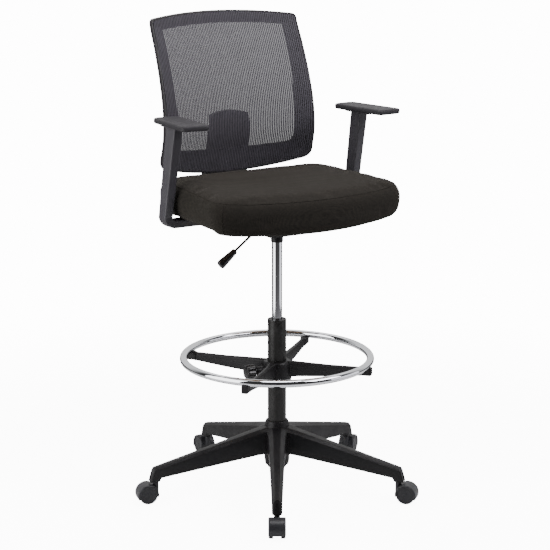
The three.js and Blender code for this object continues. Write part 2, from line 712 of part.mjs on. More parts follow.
function armSectionAt({ x, y, z, angle, thickness, width }) {
  const [outX, outZ] = [Math.cos(angle), -Math.sin(angle)];
  const [a, b] = [thickness / 2, width / 2];
  const corner = 3;
  const outline = [
    [a, b - corner], [a - corner, b], [-a + corner, b], [-a, b - corner],
    [-a, -b + corner], [-a + corner, -b], [a - corner, -b], [a, -b + corner],
  ];
  return outline.map(([u, v]) => new THREE.Vector3(x + outX * u, y + v, z + outZ * u));
}

function armFrame() {
  const padBottom = PAD_TOP - PAD_THICKNESS;
  const bendTop = BRACKET_Z + ELBOW_RADIUS;
  const topZ = padBottom - GAP - 4;
  const stations = [];
  for (const step of [0, 0.35, 0.7, 1]) {
    stations.push({
      x: UPRIGHT_TOP_X + (UPRIGHT_X - UPRIGHT_TOP_X) * step, z: topZ + (bendTop - topZ) * step,
      y: UPRIGHT_TOP_Y + (UPRIGHT_BOTTOM_Y - 2 - UPRIGHT_TOP_Y) * step,
      angle: 0, thickness: UPRIGHT_THICKNESS - step,
      width: UPRIGHT_WIDTH_TOP + (UPRIGHT_WIDTH_BOTTOM - UPRIGHT_WIDTH_TOP) * step,
    });
  }
  for (const step of [1 / 3, 2 / 3, 1]) {
    const angle = (Math.PI / 2) * step;
    const elbowThickness = UPRIGHT_THICKNESS - 1;
    stations.push({
      x: UPRIGHT_X - ELBOW_RADIUS + ELBOW_RADIUS * Math.cos(angle), y: UPRIGHT_BOTTOM_Y,
      z: bendTop - ELBOW_RADIUS * Math.sin(angle), angle,
      thickness: elbowThickness + (BRACKET_THICKNESS - elbowThickness) * step,
      width: UPRIGHT_WIDTH_BOTTOM + step,
    });
  }
  stations.push({
    x: BRACKET_INNER_X, y: UPRIGHT_BOTTOM_Y, z: BRACKET_Z, angle: Math.PI / 2,
    thickness: BRACKET_THICKNESS, width: BRACKET_WIDTH,
  });
  const flangeOutline = roundedOutline([[21, 52, 8], [-21, 52, 8], [-21, -52, 8], [21, -52, 8]], 2);
  const flange = loft([-0.2, 3.8].map((rise) => flangeOutline.map(
    (p) => new THREE.Vector3(p.x + UPRIGHT_TOP_X, p.y + UPRIGHT_TOP_Y - 12, topZ + rise),
  )));
  const boltHole = rod(3.4, 700, 800, 12).translate(ARM_BOLT_X, UPRIGHT_BOTTOM_Y, 0);
  return cut(join(loft(stations.map(armSectionAt)), flange), boltHole);
}

function armPad() {
  const bottom = PAD_TOP - PAD_THICKNESS;
  const levels = [[-5, 0], [-0.5, 3.5], [0, 10], [-1.5, 13.5], [-5, PAD_THICKNESS]];
  const [l, w] = [PAD_LENGTH / 2, PAD_WIDTH / 2];
  const loops = levels.map(([grow, rise]) => {
    const [x, y] = [w + grow, l + grow];
    const outline = roundedOutline([[x - 1, y, 18], [-x + 1, y, 18], [-x - 1, -y, 13], [x + 1, -y, 13]], 3);
    return outline.map((p) => new THREE.Vector3(p.x, p.y, bottom + rise));
  });
  return loft(loops).rotateZ(PAD_TOE_OUT).translate(PAD_X, PAD_Y, 0);
}

function mirrored(shape) {
  return solid(shape).mirror([1, 0, 0]);
}

function armrests() {
  const group = new THREE.Group();
  const shank = bolt(ARM_BOLT_X, UPRIGHT_BOTTOM_Y, PLATE_TOP - BRACKET_THICKNESS, BRACKET_THICKNESS + 8);
  group.add(piece('armrest_frame_left', armFrame(), ARM_PLASTIC));
  group.add(piece('armrest_frame_right', mirrored(armFrame()), ARM_PLASTIC));
  group.add(piece('armrest_pad_left', armPad(), PAD_FOAM));
  group.add(piece('armrest_pad_right', mirrored(armPad()), PAD_FOAM));
  group.add(piece('armrest_bolt_left', shank, BLACK_STEEL));
  group.add(piece('armrest_bolt_right', mirrored(shank), BLACK_STEEL));
  return group;
}

// ---------------------------------------------------------------- backrest

const backEdge = new THREE.SplineCurve(BACK_EDGE_Z.map((z, i) => new THREE.Vector2(z, BACK_EDGE_Y[i])));

// Depth (Y) of the back's front surface at sideways position x and height z.
function backSurface(x, z) {
  const [low, high] = [BACK_EDGE_Z[0], BACK_EDGE_Z[BACK_EDGE_Z.length - 1]];
  const t = (THREE.MathUtils.clamp(z, low, high) - low) / (high - low);
  const slope = z < low ? SLOPE_BELOW : SLOPE_ABOVE;
  const beyond = z < low ? z - low : Math.max(0, z - high);
  const half = BACK_BOTTOM_HALF + (BACK_TOP_HALF - BACK_BOTTOM_HALF) * t;
  return backEdge.getPoint(t).y + beyond * slope + BACK_CURVE_DEPTH * (1 - (x / half) ** 2);
}

// Outline of the back seen from the front, moved inwards by the widths of the frame's bands.
function backOutline({ sideTop, sideBottom, top, bottom }, topRadius, bottomRadius) {
  const [topX, bottomX] = [BACK_TOP_HALF - sideTop, BACK_BOTTOM_HALF - sideBottom];
  const [topZ, bottomZ] = [BACK_TOP - top, BACK_BOTTOM + bottom];
  const corners = [
    [topX, topZ, topRadius], [-topX, topZ, topRadius],
    [-bottomX, bottomZ, bottomRadius], [bottomX, bottomZ, bottomRadius],
  ];
  const outline = roundedOutline(corners, 3);
  const spread = [];
  outline.forEach((p, i) => {
    const next = outline[(i + 1) % outline.length];
    const steps = i % 4 === 3 ? [10, 14][((i - 3) / 4) % 2] : 1;
    for (let k = 0; k < steps; k += 1) spread.push(p.clone().lerp(next, k / steps));
  });
  return spread.map((p) => {
    const arch = 1 - (p.x / BACK_BOTTOM_HALF) ** 2;
    const rise = p.y > BACK_MIDDLE ? BACK_CROWN * arch : -BACK_BOW * arch;
    const nearEnd = Math.min(1, Math.abs(p.y - BACK_MIDDLE) / BOW_REACH);
    return new THREE.Vector2(p.x, p.y + rise * nearEnd ** 2.2);
  });
}

function backFrame() {
  const outer = backOutline({ sideTop: 0, sideBottom: 0, top: 0, bottom: 0 }, 12, 24);
  const inner = backOutline(FRAME_BAND, 6, 16);
  const loops = outer.map((o, i) => {
    const n = inner[i];
    const at = (share, depth) => {
      const [x, z] = [o.x + (n.x - o.x) * share, o.y + (n.y - o.y) * share];
      return new THREE.Vector3(x, backSurface(x, z) + depth, z);
    };
    return [at(0.05, 0), at(0.5, 0), at(0.93, 0), at(1, 3), at(0.96, 12), at(0.8, FRAME_THICKNESS),
      at(0.2, FRAME_THICKNESS), at(0, 10), at(0, 2)];
  });
  return closedGrid(loops);
}

// A curved sheet on the back's surface. reach(s) gives [low, high] heights at sideways share s.
function curvedSheet(halfAt, reach, offset, thickness, across, up) {
  const front = [];
  const rear = [];
  for (let j = 0; j <= up; j += 1) {
    for (let i = 0; i <= across; i += 1) {
      const s = (2 * i) / across - 1;
      const [low, high] = reach(s);
      const z = low + ((high - low) * j) / up;
      const x = s * halfAt(z);
      const y = backSurface(x, z) + offset;
      front.push(new THREE.Vector3(x, y, z));
      rear.push(new THREE.Vector3(x, y + thickness, z));
    }
  }
  const row = across + 1;
  const size = front.length;
  const faces = [];
  const quad = (a, b, c, d) => faces.push(a, b, c, a, c, d);
  for (let j = 0; j < up; j += 1) {
    for (let i = 0; i < across; i += 1) {
      const a = j * row + i;
      quad(a, a + 1, a + row + 1, a + row);
      quad(size + a, size + a + row, size + a + row + 1, size + a + 1);
    }
    const [l, r] = [j * row, j * row + across];
    quad(l, l + row, size + l + row, size + l);
    quad(r, size + r, size + r + row, r + row);
  }
  for (let i = 0; i < across; i += 1) {
    const t = up * row + i;
    quad(i, size + i, size + i + 1, i + 1);
    quad(t, t + 1, size + t + 1, size + t);
  }
  return new THREE.BufferGeometry().setFromPoints([...front, ...rear]).setIndex(faces);
}

function backHalfWidth(z) {
  const share = (z - BACK_BOTTOM) / (BACK_TOP - BACK_BOTTOM);
  return BACK_BOTTOM_HALF + (BACK_TOP_HALF - BACK_BOTTOM_HALF) * share;
}

function backMesh() {
  const inset = 4;
  const reach = (s) => [
    BACK_BOTTOM + inset - BACK_BOW * (1 - s * s) + 8 * s ** 8,
    BACK_TOP - inset + BACK_CROWN * (1 - s * s) - 3 * s ** 8,
  ];
  const half = (z) => backHalfWidth(z) - inset;
  return curvedSheet(half, reach, -MESH_THICKNESS - MESH_CLEARANCE, MESH_THICKNESS, 12, 15);
}

function backBarCover() {
  const reach = (s) => [COVER_BOTTOM, COVER_TOP - 9 * s * s];
  const half = (z) => COVER_HALF - (z - COVER_BOTTOM) * COVER_TAPER;
  return curvedSheet(half, reach, COVER_OFFSET, COVER_THICKNESS, 6, 8);
}

// Flat steel bar from under the seat board, round behind the seat and up the back.
function backBar() {
  const offset = COVER_OFFSET + COVER_THICKNESS + 1.2 + BAR_THICKNESS / 2;
  const behindCover = (z) => backSurface(0, z) + offset;
  const level = PLATE_TOP - BAR_THICKNESS / 2;
  const path = new THREE.SplineCurve([
    new THREE.Vector2(98, level), new THREE.Vector2(170, level), new THREE.Vector2(250, level),
    new THREE.Vector2(286, level + 12), new THREE.Vector2(299, level + 42),
    new THREE.Vector2(behindCover(845) + 3, 845), new THREE.Vector2(behindCover(900), 900),
    new THREE.Vector2(behindCover(945), 945), new THREE.Vector2(behindCover(985), 985),
  ]);
  const steps = 26;
  const sides = [[], []];
  for (let i = 0; i <= steps; i += 1) {
    const p = path.getPoint(i / steps);
    const t = path.getTangent(i / steps);
    const normal = new THREE.Vector2(-t.y, t.x).multiplyScalar(BAR_THICKNESS / 2);
    sides[0].push(p.clone().add(normal));
    sides[1].push(p.clone().sub(normal));
  }
  const outline = [...sides[0], ...sides[1].reverse()];
  return extruded(outline, BAR_WIDTH).translate(0, 0, -BAR_WIDTH / 2)
    .rotateX(Math.PI / 2).rotateZ(Math.PI / 2);
}

// ---------------------------------------------------------------- assembly

function baseAssembly() {
  const group = new THREE.Group();
  group.rotation.z = BASE_TURN;
  group.add(piece('star_base', starBase(), NYLON));
  group.add(casters());
  group.add(footringGroup());
  return group;
}

function columnAssembly() {
  const group = new THREE.Group();
  group.add(piece('outer_tube', outerTube(), BLACK_STEEL));
  group.add(piece('guide_bush', guideBush(), NYLON));
  group.add(piece('thrust_bearing', thrustBearing(), BARE_STEEL));
  group.add(piece('retaining_clip', retainingClip(), BARE_STEEL));
  group.add(piece('piston_rod', pistonRod(), BARE_STEEL));
  group.add(piece('rod_gland', rodGland(), WHITE_PLASTIC));
  group.add(piece('pressure_tube', pressureTube(), CHROME));
  group.add(piece('release_pin', releasePin(), BARE_STEEL));
  group.add(piece('column_collar', columnCollar(), NYLON));
  return group;
}

function seatAssembly() {
  const group = new THREE.Group();
  group.add(piece('mechanism_housing', mechanismHousing(), BLACK_STEEL));
  group.add(piece('lever_pivot_pin', pivotPin(), BARE_STEEL));
  group.add(piece('lever_rod', leverRod(), BLACK_STEEL));
  group.add(leverHandle());
  let number = 1;
  for (const x of [-PLATE_BOLT_X, PLATE_BOLT_X]) {
    for (const y of [-PLATE_BOLT_Y, PLATE_BOLT_Y]) {
      const shape = bolt(x, y, PLATE_TOP - PLATE_THICKNESS, 12);
      group.add(piece(`mechanism_bolt_${number}`, shape, BARE_STEEL));
      number += 1;
    }
  }
  group.add(piece('seat_board', seatBoard(), PLYWOOD));
  group.add(piece('seat_cushion', seatCushion(), SEAT_FABRIC));
  group.add(armrests());
  return group;
}

function backAssembly() {
  const group = new THREE.Group();
  group.add(piece('back_bar', backBar(), BLACK_STEEL));
  group.add(piece('back_bar_cover', backBarCover(), BACK_PLASTIC));
  group.add(piece('back_frame', backFrame(), BACK_PLASTIC));
  group.add(piece('back_mesh', backMesh(), MESH_FABRIC));
  return group;
}

const chair = new THREE.Group();
chair.position.set(COLUMN_X, COLUMN_Y, 0);
chair.add(baseAssembly(), columnAssembly(), seatAssembly(), backAssembly());

export default chair;
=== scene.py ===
import json
import math

import bmesh
import bpy
from mathutils import Matrix, Vector


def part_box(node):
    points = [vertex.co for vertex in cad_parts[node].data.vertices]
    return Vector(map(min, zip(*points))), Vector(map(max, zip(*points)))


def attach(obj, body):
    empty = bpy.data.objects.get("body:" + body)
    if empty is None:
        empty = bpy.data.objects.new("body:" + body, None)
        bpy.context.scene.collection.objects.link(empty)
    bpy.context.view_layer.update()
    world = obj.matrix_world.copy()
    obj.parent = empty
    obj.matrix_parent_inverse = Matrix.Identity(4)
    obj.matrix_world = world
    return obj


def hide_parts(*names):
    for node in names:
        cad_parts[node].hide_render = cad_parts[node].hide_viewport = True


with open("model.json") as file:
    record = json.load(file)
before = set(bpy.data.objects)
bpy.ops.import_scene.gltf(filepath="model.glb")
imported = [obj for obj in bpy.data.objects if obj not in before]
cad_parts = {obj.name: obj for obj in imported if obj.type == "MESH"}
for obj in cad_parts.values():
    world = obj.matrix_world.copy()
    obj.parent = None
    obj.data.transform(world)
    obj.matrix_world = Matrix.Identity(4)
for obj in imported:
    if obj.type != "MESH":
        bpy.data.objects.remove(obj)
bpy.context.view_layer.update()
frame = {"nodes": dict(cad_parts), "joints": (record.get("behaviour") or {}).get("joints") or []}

# The looks of a drafting chair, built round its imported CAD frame. Sizes are in metres, +Z is up, the
# sitter faces -Y and +X is on the sitter's left. Shapes are given round the column's axis and then moved.

JOINTS = {joint["name"]: joint for joint in frame["joints"]}
COLUMN = Vector((*JOINTS["seat_swivel"]["pos_m"][:2], 0))
TO_COLUMN = Matrix.Translation(COLUMN)
CASTERS = range(1, 6)
# sides of the large round parts
SIDES = 96


def joint_place(name):
    return Vector(JOINTS[name]["pos_m"])


def arm_turn(k):
    """The direction of base arm k, from the column to the stem of caster k."""
    stem = joint_place(f"caster_{k}_swivel") - COLUMN
    return math.atan2(stem.y, stem.x)


BASE_TURN = arm_turn(1) + math.pi / 2
WHEEL_RADIUS = JOINTS["wheel_1_left_spin"]["pos_m"][2]
CASTER_TRAIL = (joint_place("wheel_1_left_spin") - joint_place("caster_1_swivel")).xy.length

# camera, as the photograph was taken
CAMERA_TARGET = Vector((-0.0165, -0.0507, 0.6))
CAMERA_DISTANCE = 4.3
CAMERA_AZIMUTH = math.radians(-32.7)
CAMERA_ELEVATION = math.radians(13.02)
CAMERA_LENS = 107.56

# studio brightness: seen by the camera, seen through the mesh, and of the far wall as a light
WHITE = 14.0
SEEN_THROUGH = 1.25
FAR_WALL = 1.3
FLOOR_SIZE = 60.0

# five-arm base: (distance, width) along an arm
ARM_WIDTHS = [(0.022, 0.058), (0.06, 0.046), (0.12, 0.0395), (0.19, 0.035), (0.26, 0.031), (0.324, 0.0275)]
# the arm's end: distance, width, where its top is taken, rise of its bottom, and lean
ARM_END = [(0.3285, 0.0272, 0.3285, 0.002, 0), (0.3305, 0.0271, 0.3305, 0, 0),
           (0.3405, 0.0266, 0.3405, 0, 0.01), (0.343, 0.0236, 0.343, 0, 0.0105),
           (0.3445, 0.019, 0.345, 0.0004, 0.0108)]
ARM_END_BOTTOM = 0.057
ARM_RIDGE = 0.48
ARM_BEVEL = 0.008

# seat: (half width, depth) of its rear and front corners
SEAT_REAR = (0.251, 0.183)
SEAT_FRONT = (0.28, -0.165)
SEAT_CORNER = 0.04
SEAT_BOW = 0.052
SEAT_TOP = 0.8465
SEAT_DROP = 0.01
SEAT_BOTTOM = 0.7625
SEAT_SAG = 0.024
BOARD_INSET = 0.027
SEAM_RADIUS = 0.0011
# the cushion's sides: (outwards, level) with level 0 at its lower edge and 1 at its upper edge
SIDE_LEVELS = [(0.005, 0.1), (0.0088, 0.25), (0.011, 0.45), (0.0116, 0.62), (0.0095, 0.77), (0.0058, 0.88)]
# the cloth simulation: start inside the final form, size of its squares, and the most that it may move
CLOTH_INSET, CLOTH_GRAIN, CLOTH_SWELL = 0.002, 0.005, 0.0045
CLOTH_HELD = 0.012
CLOTH_STEPS = 20

# armrests
PAD_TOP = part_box("armrest_pad_left")[1].z
PAD_THICKNESS = 0.015
PAD_HALF = (0.0365, 0.098)
PAD_CENTRE = (0.285, 0.002)
PAD_TOE_OUT = math.radians(5.4)
UPRIGHT_TOP = (0.284, 0.033)
UPRIGHT_BOTTOM = (0.289, 0.079)
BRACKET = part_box("armrest_frame_left")[0].z
BRACKET_THICKNESS = 0.021

# backrest: points of the side edge's depth, at even heights from bottom to top
EDGE_LOW, EDGE_HIGH = 0.872, 1.248
EDGE_DEPTHS = [0.19, 0.1735, 0.177, 0.196, 0.224, 0.255]
SLOPE_BELOW, SLOPE_ABOVE = -0.25, 0.4
BACK_CURVE = 0.04
BACK_BOTTOM, BACK_MIDDLE, BACK_TOP = 0.867, 1.04, 1.2515
BACK_BOTTOM_HALF, BACK_TOP_HALF = 0.237, 0.2255
BACK_CROWN, BACK_BOW, BOW_REACH = 0.0155, 0.032, 0.17
FRAME_THICKNESS = 0.016
FRAME_SIDES, FRAME_TOP, FRAME_BOTTOM = (0.0345, 0.0535), 0.033, 0.051
MESH_FRONT, MESH_REAR = -0.0032, -0.0016


# ---- mesh helpers


def new_object(name, data):
    obj = bpy.data.objects.new(name, data)
    bpy.context.scene.collection.objects.link(obj)
    return obj


def add_piece(name, points, faces, place=TO_COLUMN):
    mesh = bpy.data.meshes.new(name)
    mesh.from_pydata([tuple(place @ Vector(p)) for p in points], [], faces)
    work = bmesh.new()
    work.from_mesh(mesh)
    bmesh.ops.recalc_face_normals(work, faces=work.faces)
    work.to_mesh(mesh)
    work.free()
    return new_object(name, mesh)


def apply_modifiers(obj):
    bpy.context.view_layer.update()
    shown = obj.evaluated_get(bpy.context.evaluated_depsgraph_get())
    mesh = bpy.data.meshes.new_from_object(shown)
    obj.modifiers.clear()
    obj.data = mesh
    return obj


def combine(obj, tool, operation="DIFFERENCE"):
    modifier = obj.modifiers.new("combine", "BOOLEAN")
    modifier.object = tool
    modifier.operation = operation
    modifier.solver = "MANIFOLD"
    apply_modifiers(obj)
    bpy.data.objects.remove(tool)
    return obj


def bore(obj, radius, low, high, sides=24, place=TO_COLUMN):
    """Cuts a round hole along Z, from low to high."""
    return combine(obj, lathe("bore", [(0, low), (radius, low), (radius, high), (0, high)], sides, place))


def join(obj, part):
    """Puts a second object's mesh into the first one."""
    work = bmesh.new()
    work.from_mesh(obj.data)
    work.from_mesh(part.data)
    work.to_mesh(obj.data)
    work.free()
    bpy.data.objects.remove(part)
    return obj


def smooth(obj, angle=35):
    obj.data.shade_smooth()
    obj.data.set_sharp_from_angle(angle=math.radians(angle))
    return obj


def bevel(obj, width, segments=3, angle=30):
    """Rounds the edges that turn more than angle, and shades the rest flat and true."""
    obj.data.shade_smooth()
    modifier = obj.modifiers.new("bevel", "BEVEL")
    modifier.width = width
    modifier.segments = segments
    modifier.limit_method = "ANGLE"
    modifier.angle_limit = math.radians(angle)
    modifier.harden_normals = True
    return obj


def loft(name, rings, place=TO_COLUMN, closed=False):
    """Joins equal rings of points. closed joins the last ring to the first, else both ends are capped."""
    count = len(rings[0])
    faces = []
    for k in range(len(rings) if closed else len(rings) - 1):
        here, there = k * count, (k + 1) % len(rings) * count
        for i in range(count):
            j = (i + 1) % count
            faces.append((here + i, here + j, there + j, there + i))
    if not closed:
        faces.append(tuple(range(count)))
        faces.append(tuple(range((len(rings) - 1) * count, len(rings) * count)))
    return add_piece(name, [p for ring in rings for p in ring], faces, place)


def lathe(name, profile, sides=SIDES, place=TO_COLUMN):
    """A solid of revolution about Z. The (radius, height) profile is closed, or has its ends on the axis."""
    points, rows = [], []
    for radius, height in profile:
        steps = sides if radius > 1e-6 else 1
        rows.append([len(points) + i for i in range(steps)])
        for i in range(steps):
            angle = 2 * math.pi * i / steps
            points.append((radius * math.cos(angle), radius * math.sin(angle), height))
    pairs = list(zip(rows, rows[1:]))
    if len(rows[0]) > 1:
        pairs.append((rows[-1], rows[0]))
    faces = []
    for low, high in pairs:
        for i in range(sides):
            j = (i + 1) % sides
            corners = (low[i % len(low)], low[j % len(low)], high[j % len(high)], high[i % len(high)])
            faces.append(tuple(dict.fromkeys(corners)))
    return add_piece(name, points, faces, place)


def rounded(corners, steps=4):
    """A closed outline through (x, y, radius) corners, each rounded by a short parabola."""
    points = []
    for i, (x, y, radius) in enumerate(corners):
        corner = Vector((x, y))
        after = corners[(i + 1) % len(corners)]
        back = (Vector(corners[i - 1][:2]) - corner).normalized() * radius
        ahead = (Vector(after[:2]) - corner).normalized() * radius
        count = steps if radius else 0
        for k in range(count + 1):
            t = k / max(count, 1)
            points.append(corner + back * (1 - t) ** 2 + ahead * t * t)
    return points


def rounded_box(half_x, half_y, radius, steps):
    """A closed rectangle with rounded corners, round its own middle."""
    return rounded([(half_x, half_y, radius), (-half_x, half_y, radius), (-half_x, -half_y, radius),
                    (half_x, -half_y, radius)], steps)


def spaced(corners, step):
    """A closed outline with its long runs divided into pieces about a step long."""
    result = []
    for here, there in zip(corners, corners[1:] + corners[:1]):
        count = max(1, round((there - here).length / step))
        result += [here.lerp(there, k / count) for k in range(count)]
    return result


def both_sides(right):
    """An outline from its right half of (x, y, radius) corners, from the bottom up, and the mirror of it."""
    return rounded(right + [(-x, y, radius) for x, y, radius in reversed(right)], 3)


def turned(corners, steps=4):
    """A lathe profile from (radius, height, rounding) corners. Corners on the axis stay sharp."""
    return [tuple(p) for p in rounded(corners, steps)]


def prism(name, outline, low, high, place=TO_COLUMN):
    return loft(name, [[(x, y, z) for x, y in outline] for z in (low, high)], place)


def curve_points(points, steps):
    """A smooth curve through the points, with steps between each two."""
    ends = [2 * points[0] - points[1], *points, 2 * points[-1] - points[-2]]
    result = []
    for a, b, c, d in zip(ends, ends[1:], ends[2:], ends[3:]):
        for k in range(steps):
            t = k / steps
            result.append(0.5 * ((2 * b) + (c - a) * t + (2 * a - 5 * b + 4 * c - d) * t * t
                                 + (3 * b - a - 3 * c + d) * t ** 3))
    return [*result, points[-1]]


def clamped(value):
    return min(1.0, max(0.0, value))


def between(low, high, share):
    return low + (high - low) * share


def corner_indexes(outline):
    """Where a four-sided outline has its corners: high right, high left, low left and low right."""
    return [max(range(len(outline)), key=lambda i: outline[i][0] * sx + outline[i][1] * sy)
            for sx, sy in ((1, 1), (-1, 1), (-1, -1), (1, -1))]


def circle(radius, steps, centre=(0, 0)):
    turns = [2 * math.pi * i / steps for i in range(steps)]
    return [(centre[0] + radius * math.cos(a), centre[1] + radius * math.sin(a)) for a in turns]


def dress(obj, body, slot, material, *nodes):
    """Gives a piece its material, its body and the CAD nodes that it stands for. The slot is not used."""
    obj.data.materials.clear()
    obj.data.materials.append(material)
    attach(obj, body)
    if nodes:
        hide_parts(*nodes)
    return obj


def dress_node(name, material, width=0.0006):
    """A CAD node that stays as it is, with a finer material and eased edges."""
    node = frame["nodes"][name]
    node.data.materials.clear()
    node.data.materials.append(material)
    if width:
        bevel(node, width, 2)
    return node


# ---- material helpers


class Shader:
    """A new material with one Principled surface, and short ways to add nodes to it."""

    def __init__(self, name, **sockets):
        self.material = bpy.data.materials.new(name)
        self.material.use_nodes = True
        self.tree = self.material.node_tree
        self.tree.nodes.clear()
        self.surface = self.add("BsdfPrincipled", **sockets)
        output = self.add("OutputMaterial")
        self.tree.links.new(self.surface.outputs[0], output.inputs["Surface"])
        self.place = self.add("TexCoord").outputs["Object"]

    def add(self, kind, settings=None, **sockets):
        node = self.tree.nodes.new("ShaderNode" + kind)
        for name, value in (settings or {}).items():
            setattr(node, name, value)
        self.feed(node, **sockets)
        return node

    def feed(self, node, **sockets):
        """Sets or links inputs by name, with _ for a space and a number after i for an index."""
        for name, value in sockets.items():
            key = int(name[1:]) if name[0] == "i" and name[1:].isdigit() else name.replace("_", " ")
            if isinstance(value, bpy.types.NodeSocket):
                self.tree.links.new(value, node.inputs[key])
            else:
                node.inputs[key].default_value = value

    def set(self, **sockets):
        self.feed(self.surface, **sockets)

    def maths(self, operation, a, b=0.0, c=0.0):
        return self.add("Math", {"operation": operation}, i0=a, i1=b, i2=c).outputs[0]

    def noise(self, scale, detail=2.0, roughness=0.5, place=None):
        node = self.add("TexNoise", Scale=scale, Detail=detail, Roughness=roughness,
                        Vector=place or self.place)
        return node.outputs["Fac"]

    def cells(self, scale, feature="F1", randomness=1.0, place=None):
        node = self.add("TexVoronoi", {"feature": feature}, Scale=scale, Randomness=randomness,
                        Vector=place or self.place)
        return node.outputs["Distance"]

    def stretch(self, x, y, z):
        """The object's coordinates, scaled along each axis."""
        return self.add("Mapping", Vector=self.place, Scale=(x, y, z)).outputs[0]

    def spread(self, value, low, high, to_low=0.0, to_high=1.0):
        """A value moved from one range to another, smoothly and held at the ends."""
        node = self.add("MapRange", {"interpolation_type": "SMOOTHSTEP"}, Value=value, From_Min=low,
                        From_Max=high, To_Min=to_low, To_Max=to_high)
        return node.outputs["Result"]

    def mix(self, factor, a, b):
        node = self.add("Mix", {"data_type": "RGBA"}, Factor=factor)
        self.feed(node, i6=a, i7=b)
        return node.outputs[2]

    def axes(self):
        return self.add("SeparateXYZ", Vector=self.place).outputs

    def rubbed_edges(self, radius):
        """1 on outer edges, where hands and feet rub the surface, and 0 on flat stretches."""
        soft = self.add("Bevel", {"samples": 4}, Radius=radius).outputs[0]
        true = self.add("NewGeometry").outputs["Normal"]
        match = self.add("VectorMath", {"operation": "DOT_PRODUCT"}, i0=soft, i1=true).outputs["Value"]
        return self.spread(match, 0.99, 0.8)

    def bump(self, height, depth, strength=1.0):
        """Links a height from 0 to 1, depth metres tall, as the surface's relief."""
        node = self.add("Bump", Height=height, Distance=depth, Strength=strength)
        self.set(Normal=node.outputs["Normal"])


def grey(value, blue=1.0):
    return (value, value, value * blue, 1)


def paler(colour, share):
    return tuple(c + (0.35 - c) * share for c in colour[:3]) + (1,)


def scaled(colour, share):
    return tuple(c * share for c in colour[:3]) + (1,)


def moulded(name, colour, roughness, grain=900, depth=0.00006, wear=0.05, specular=0.4):
    """Moulded plastic: spark-eroded grain, slow drift in colour and gloss, and paler rubbed edges."""
    shader = Shader(name, Specular_IOR_Level=specular)
    drift = shader.noise(9, 3)
    edge = shader.rubbed_edges(0.0015)
    body = shader.mix(drift, scaled(colour, 0.85), scaled(colour, 1.15))
    shader.set(Base_Color=shader.mix(shader.maths("MULTIPLY", edge, wear), body, paler(colour, 0.5)))
    smudge = shader.spread(shader.noise(28, 4, 0.6), 0.3, 0.7, roughness - 0.05, roughness + 0.07)
    shader.set(Roughness=shader.maths("SUBTRACT", smudge, shader.maths("MULTIPLY", edge, 0.06)))
    pits = shader.cells(grain)
    waves = shader.noise(120, 2)
    shader.bump(shader.maths("MULTIPLY_ADD", waves, 0.8, pits), depth)
    return shader.material


def painted_steel(name, colour, roughness):
    """Powder coat: soft orange peel, faint dust and rubbed edges."""
    shader = Shader(name, Specular_IOR_Level=0.3, Coat_Weight=0.05, Coat_Roughness=0.25)
    edge = shader.rubbed_edges(0.001)
    dust = shader.spread(shader.noise(40, 5, 0.65), 0.45, 0.8)
    body = shader.mix(shader.maths("MULTIPLY", dust, 0.25), colour, paler(colour, 0.12))
    shader.set(Base_Color=shader.mix(shader.maths("MULTIPLY", edge, 0.1), body, grey(0.16)))
    shader.set(Roughness=shader.spread(shader.noise(60, 3), 0.3, 0.7, roughness - 0.04, roughness + 0.06))
    shader.bump(shader.noise(650, 2, 0.4), 0.00008)
    return shader.material


def chrome_plate(name):
    """Bright chrome with a trace of polishing haze and fingerprints in its gloss."""
    shader = Shader(name, Base_Color=(0.8, 0.81, 0.84, 1), Metallic=1.0)
    haze = shader.spread(shader.noise(35, 6, 0.7), 0.5, 0.75)
    shader.set(Roughness=shader.maths("MULTIPLY_ADD", haze, 0.06, 0.05))
    shader.bump(shader.noise(180, 3), 0.000008)
    return shader.material


def turned_steel(name):
    """Zinc-plated turned steel: fine lathe rings, and dull spots in the plating."""
    shader = Shader(name, Metallic=1.0)
    spots = shader.noise(70, 4, 0.6)
    shader.set(Base_Color=shader.mix(spots, (0.42, 0.42, 0.4, 1), (0.62, 0.61, 0.57, 1)))
    shader.set(Roughness=shader.spread(spots, 0.3, 0.7, 0.26, 0.45))
    shader.bump(shader.noise(2.0, 2, place=shader.stretch(60, 60, 1400)), 0.00003)
    return shader.material


def upholstery(name):
    """Close woven wool-like cloth, dark brown-black, with a soft nap and slubs."""
    shader = Shader(name, Roughness=0.95, Specular_IOR_Level=0.12, Sheen_Weight=0.05, Sheen_Roughness=0.5,
                    Sheen_Tint=(0.75, 0.68, 0.6, 1))
    cloud = shader.noise(6, 3)
    slub = shader.noise(420, 3, 0.7)
    base = shader.mix(cloud, (0.0195, 0.0168, 0.0132, 1), (0.0245, 0.0212, 0.017, 1))
    threads = shader.cells(620, randomness=0.45)
    dark = shader.mix(shader.spread(threads, 0.15, 0.75), base, (0.009, 0.0078, 0.0066, 1))
    shader.set(Base_Color=shader.mix(shader.spread(slub, 0.62, 0.85, 0, 0.35), dark, (0.05, 0.045, 0.038, 1)))
    fuzz = shader.noise(2400, 2, 0.6)
    shader.bump(shader.maths("MULTIPLY_ADD", threads, -1.0, fuzz), 0.00035, 0.8)
    return shader.material


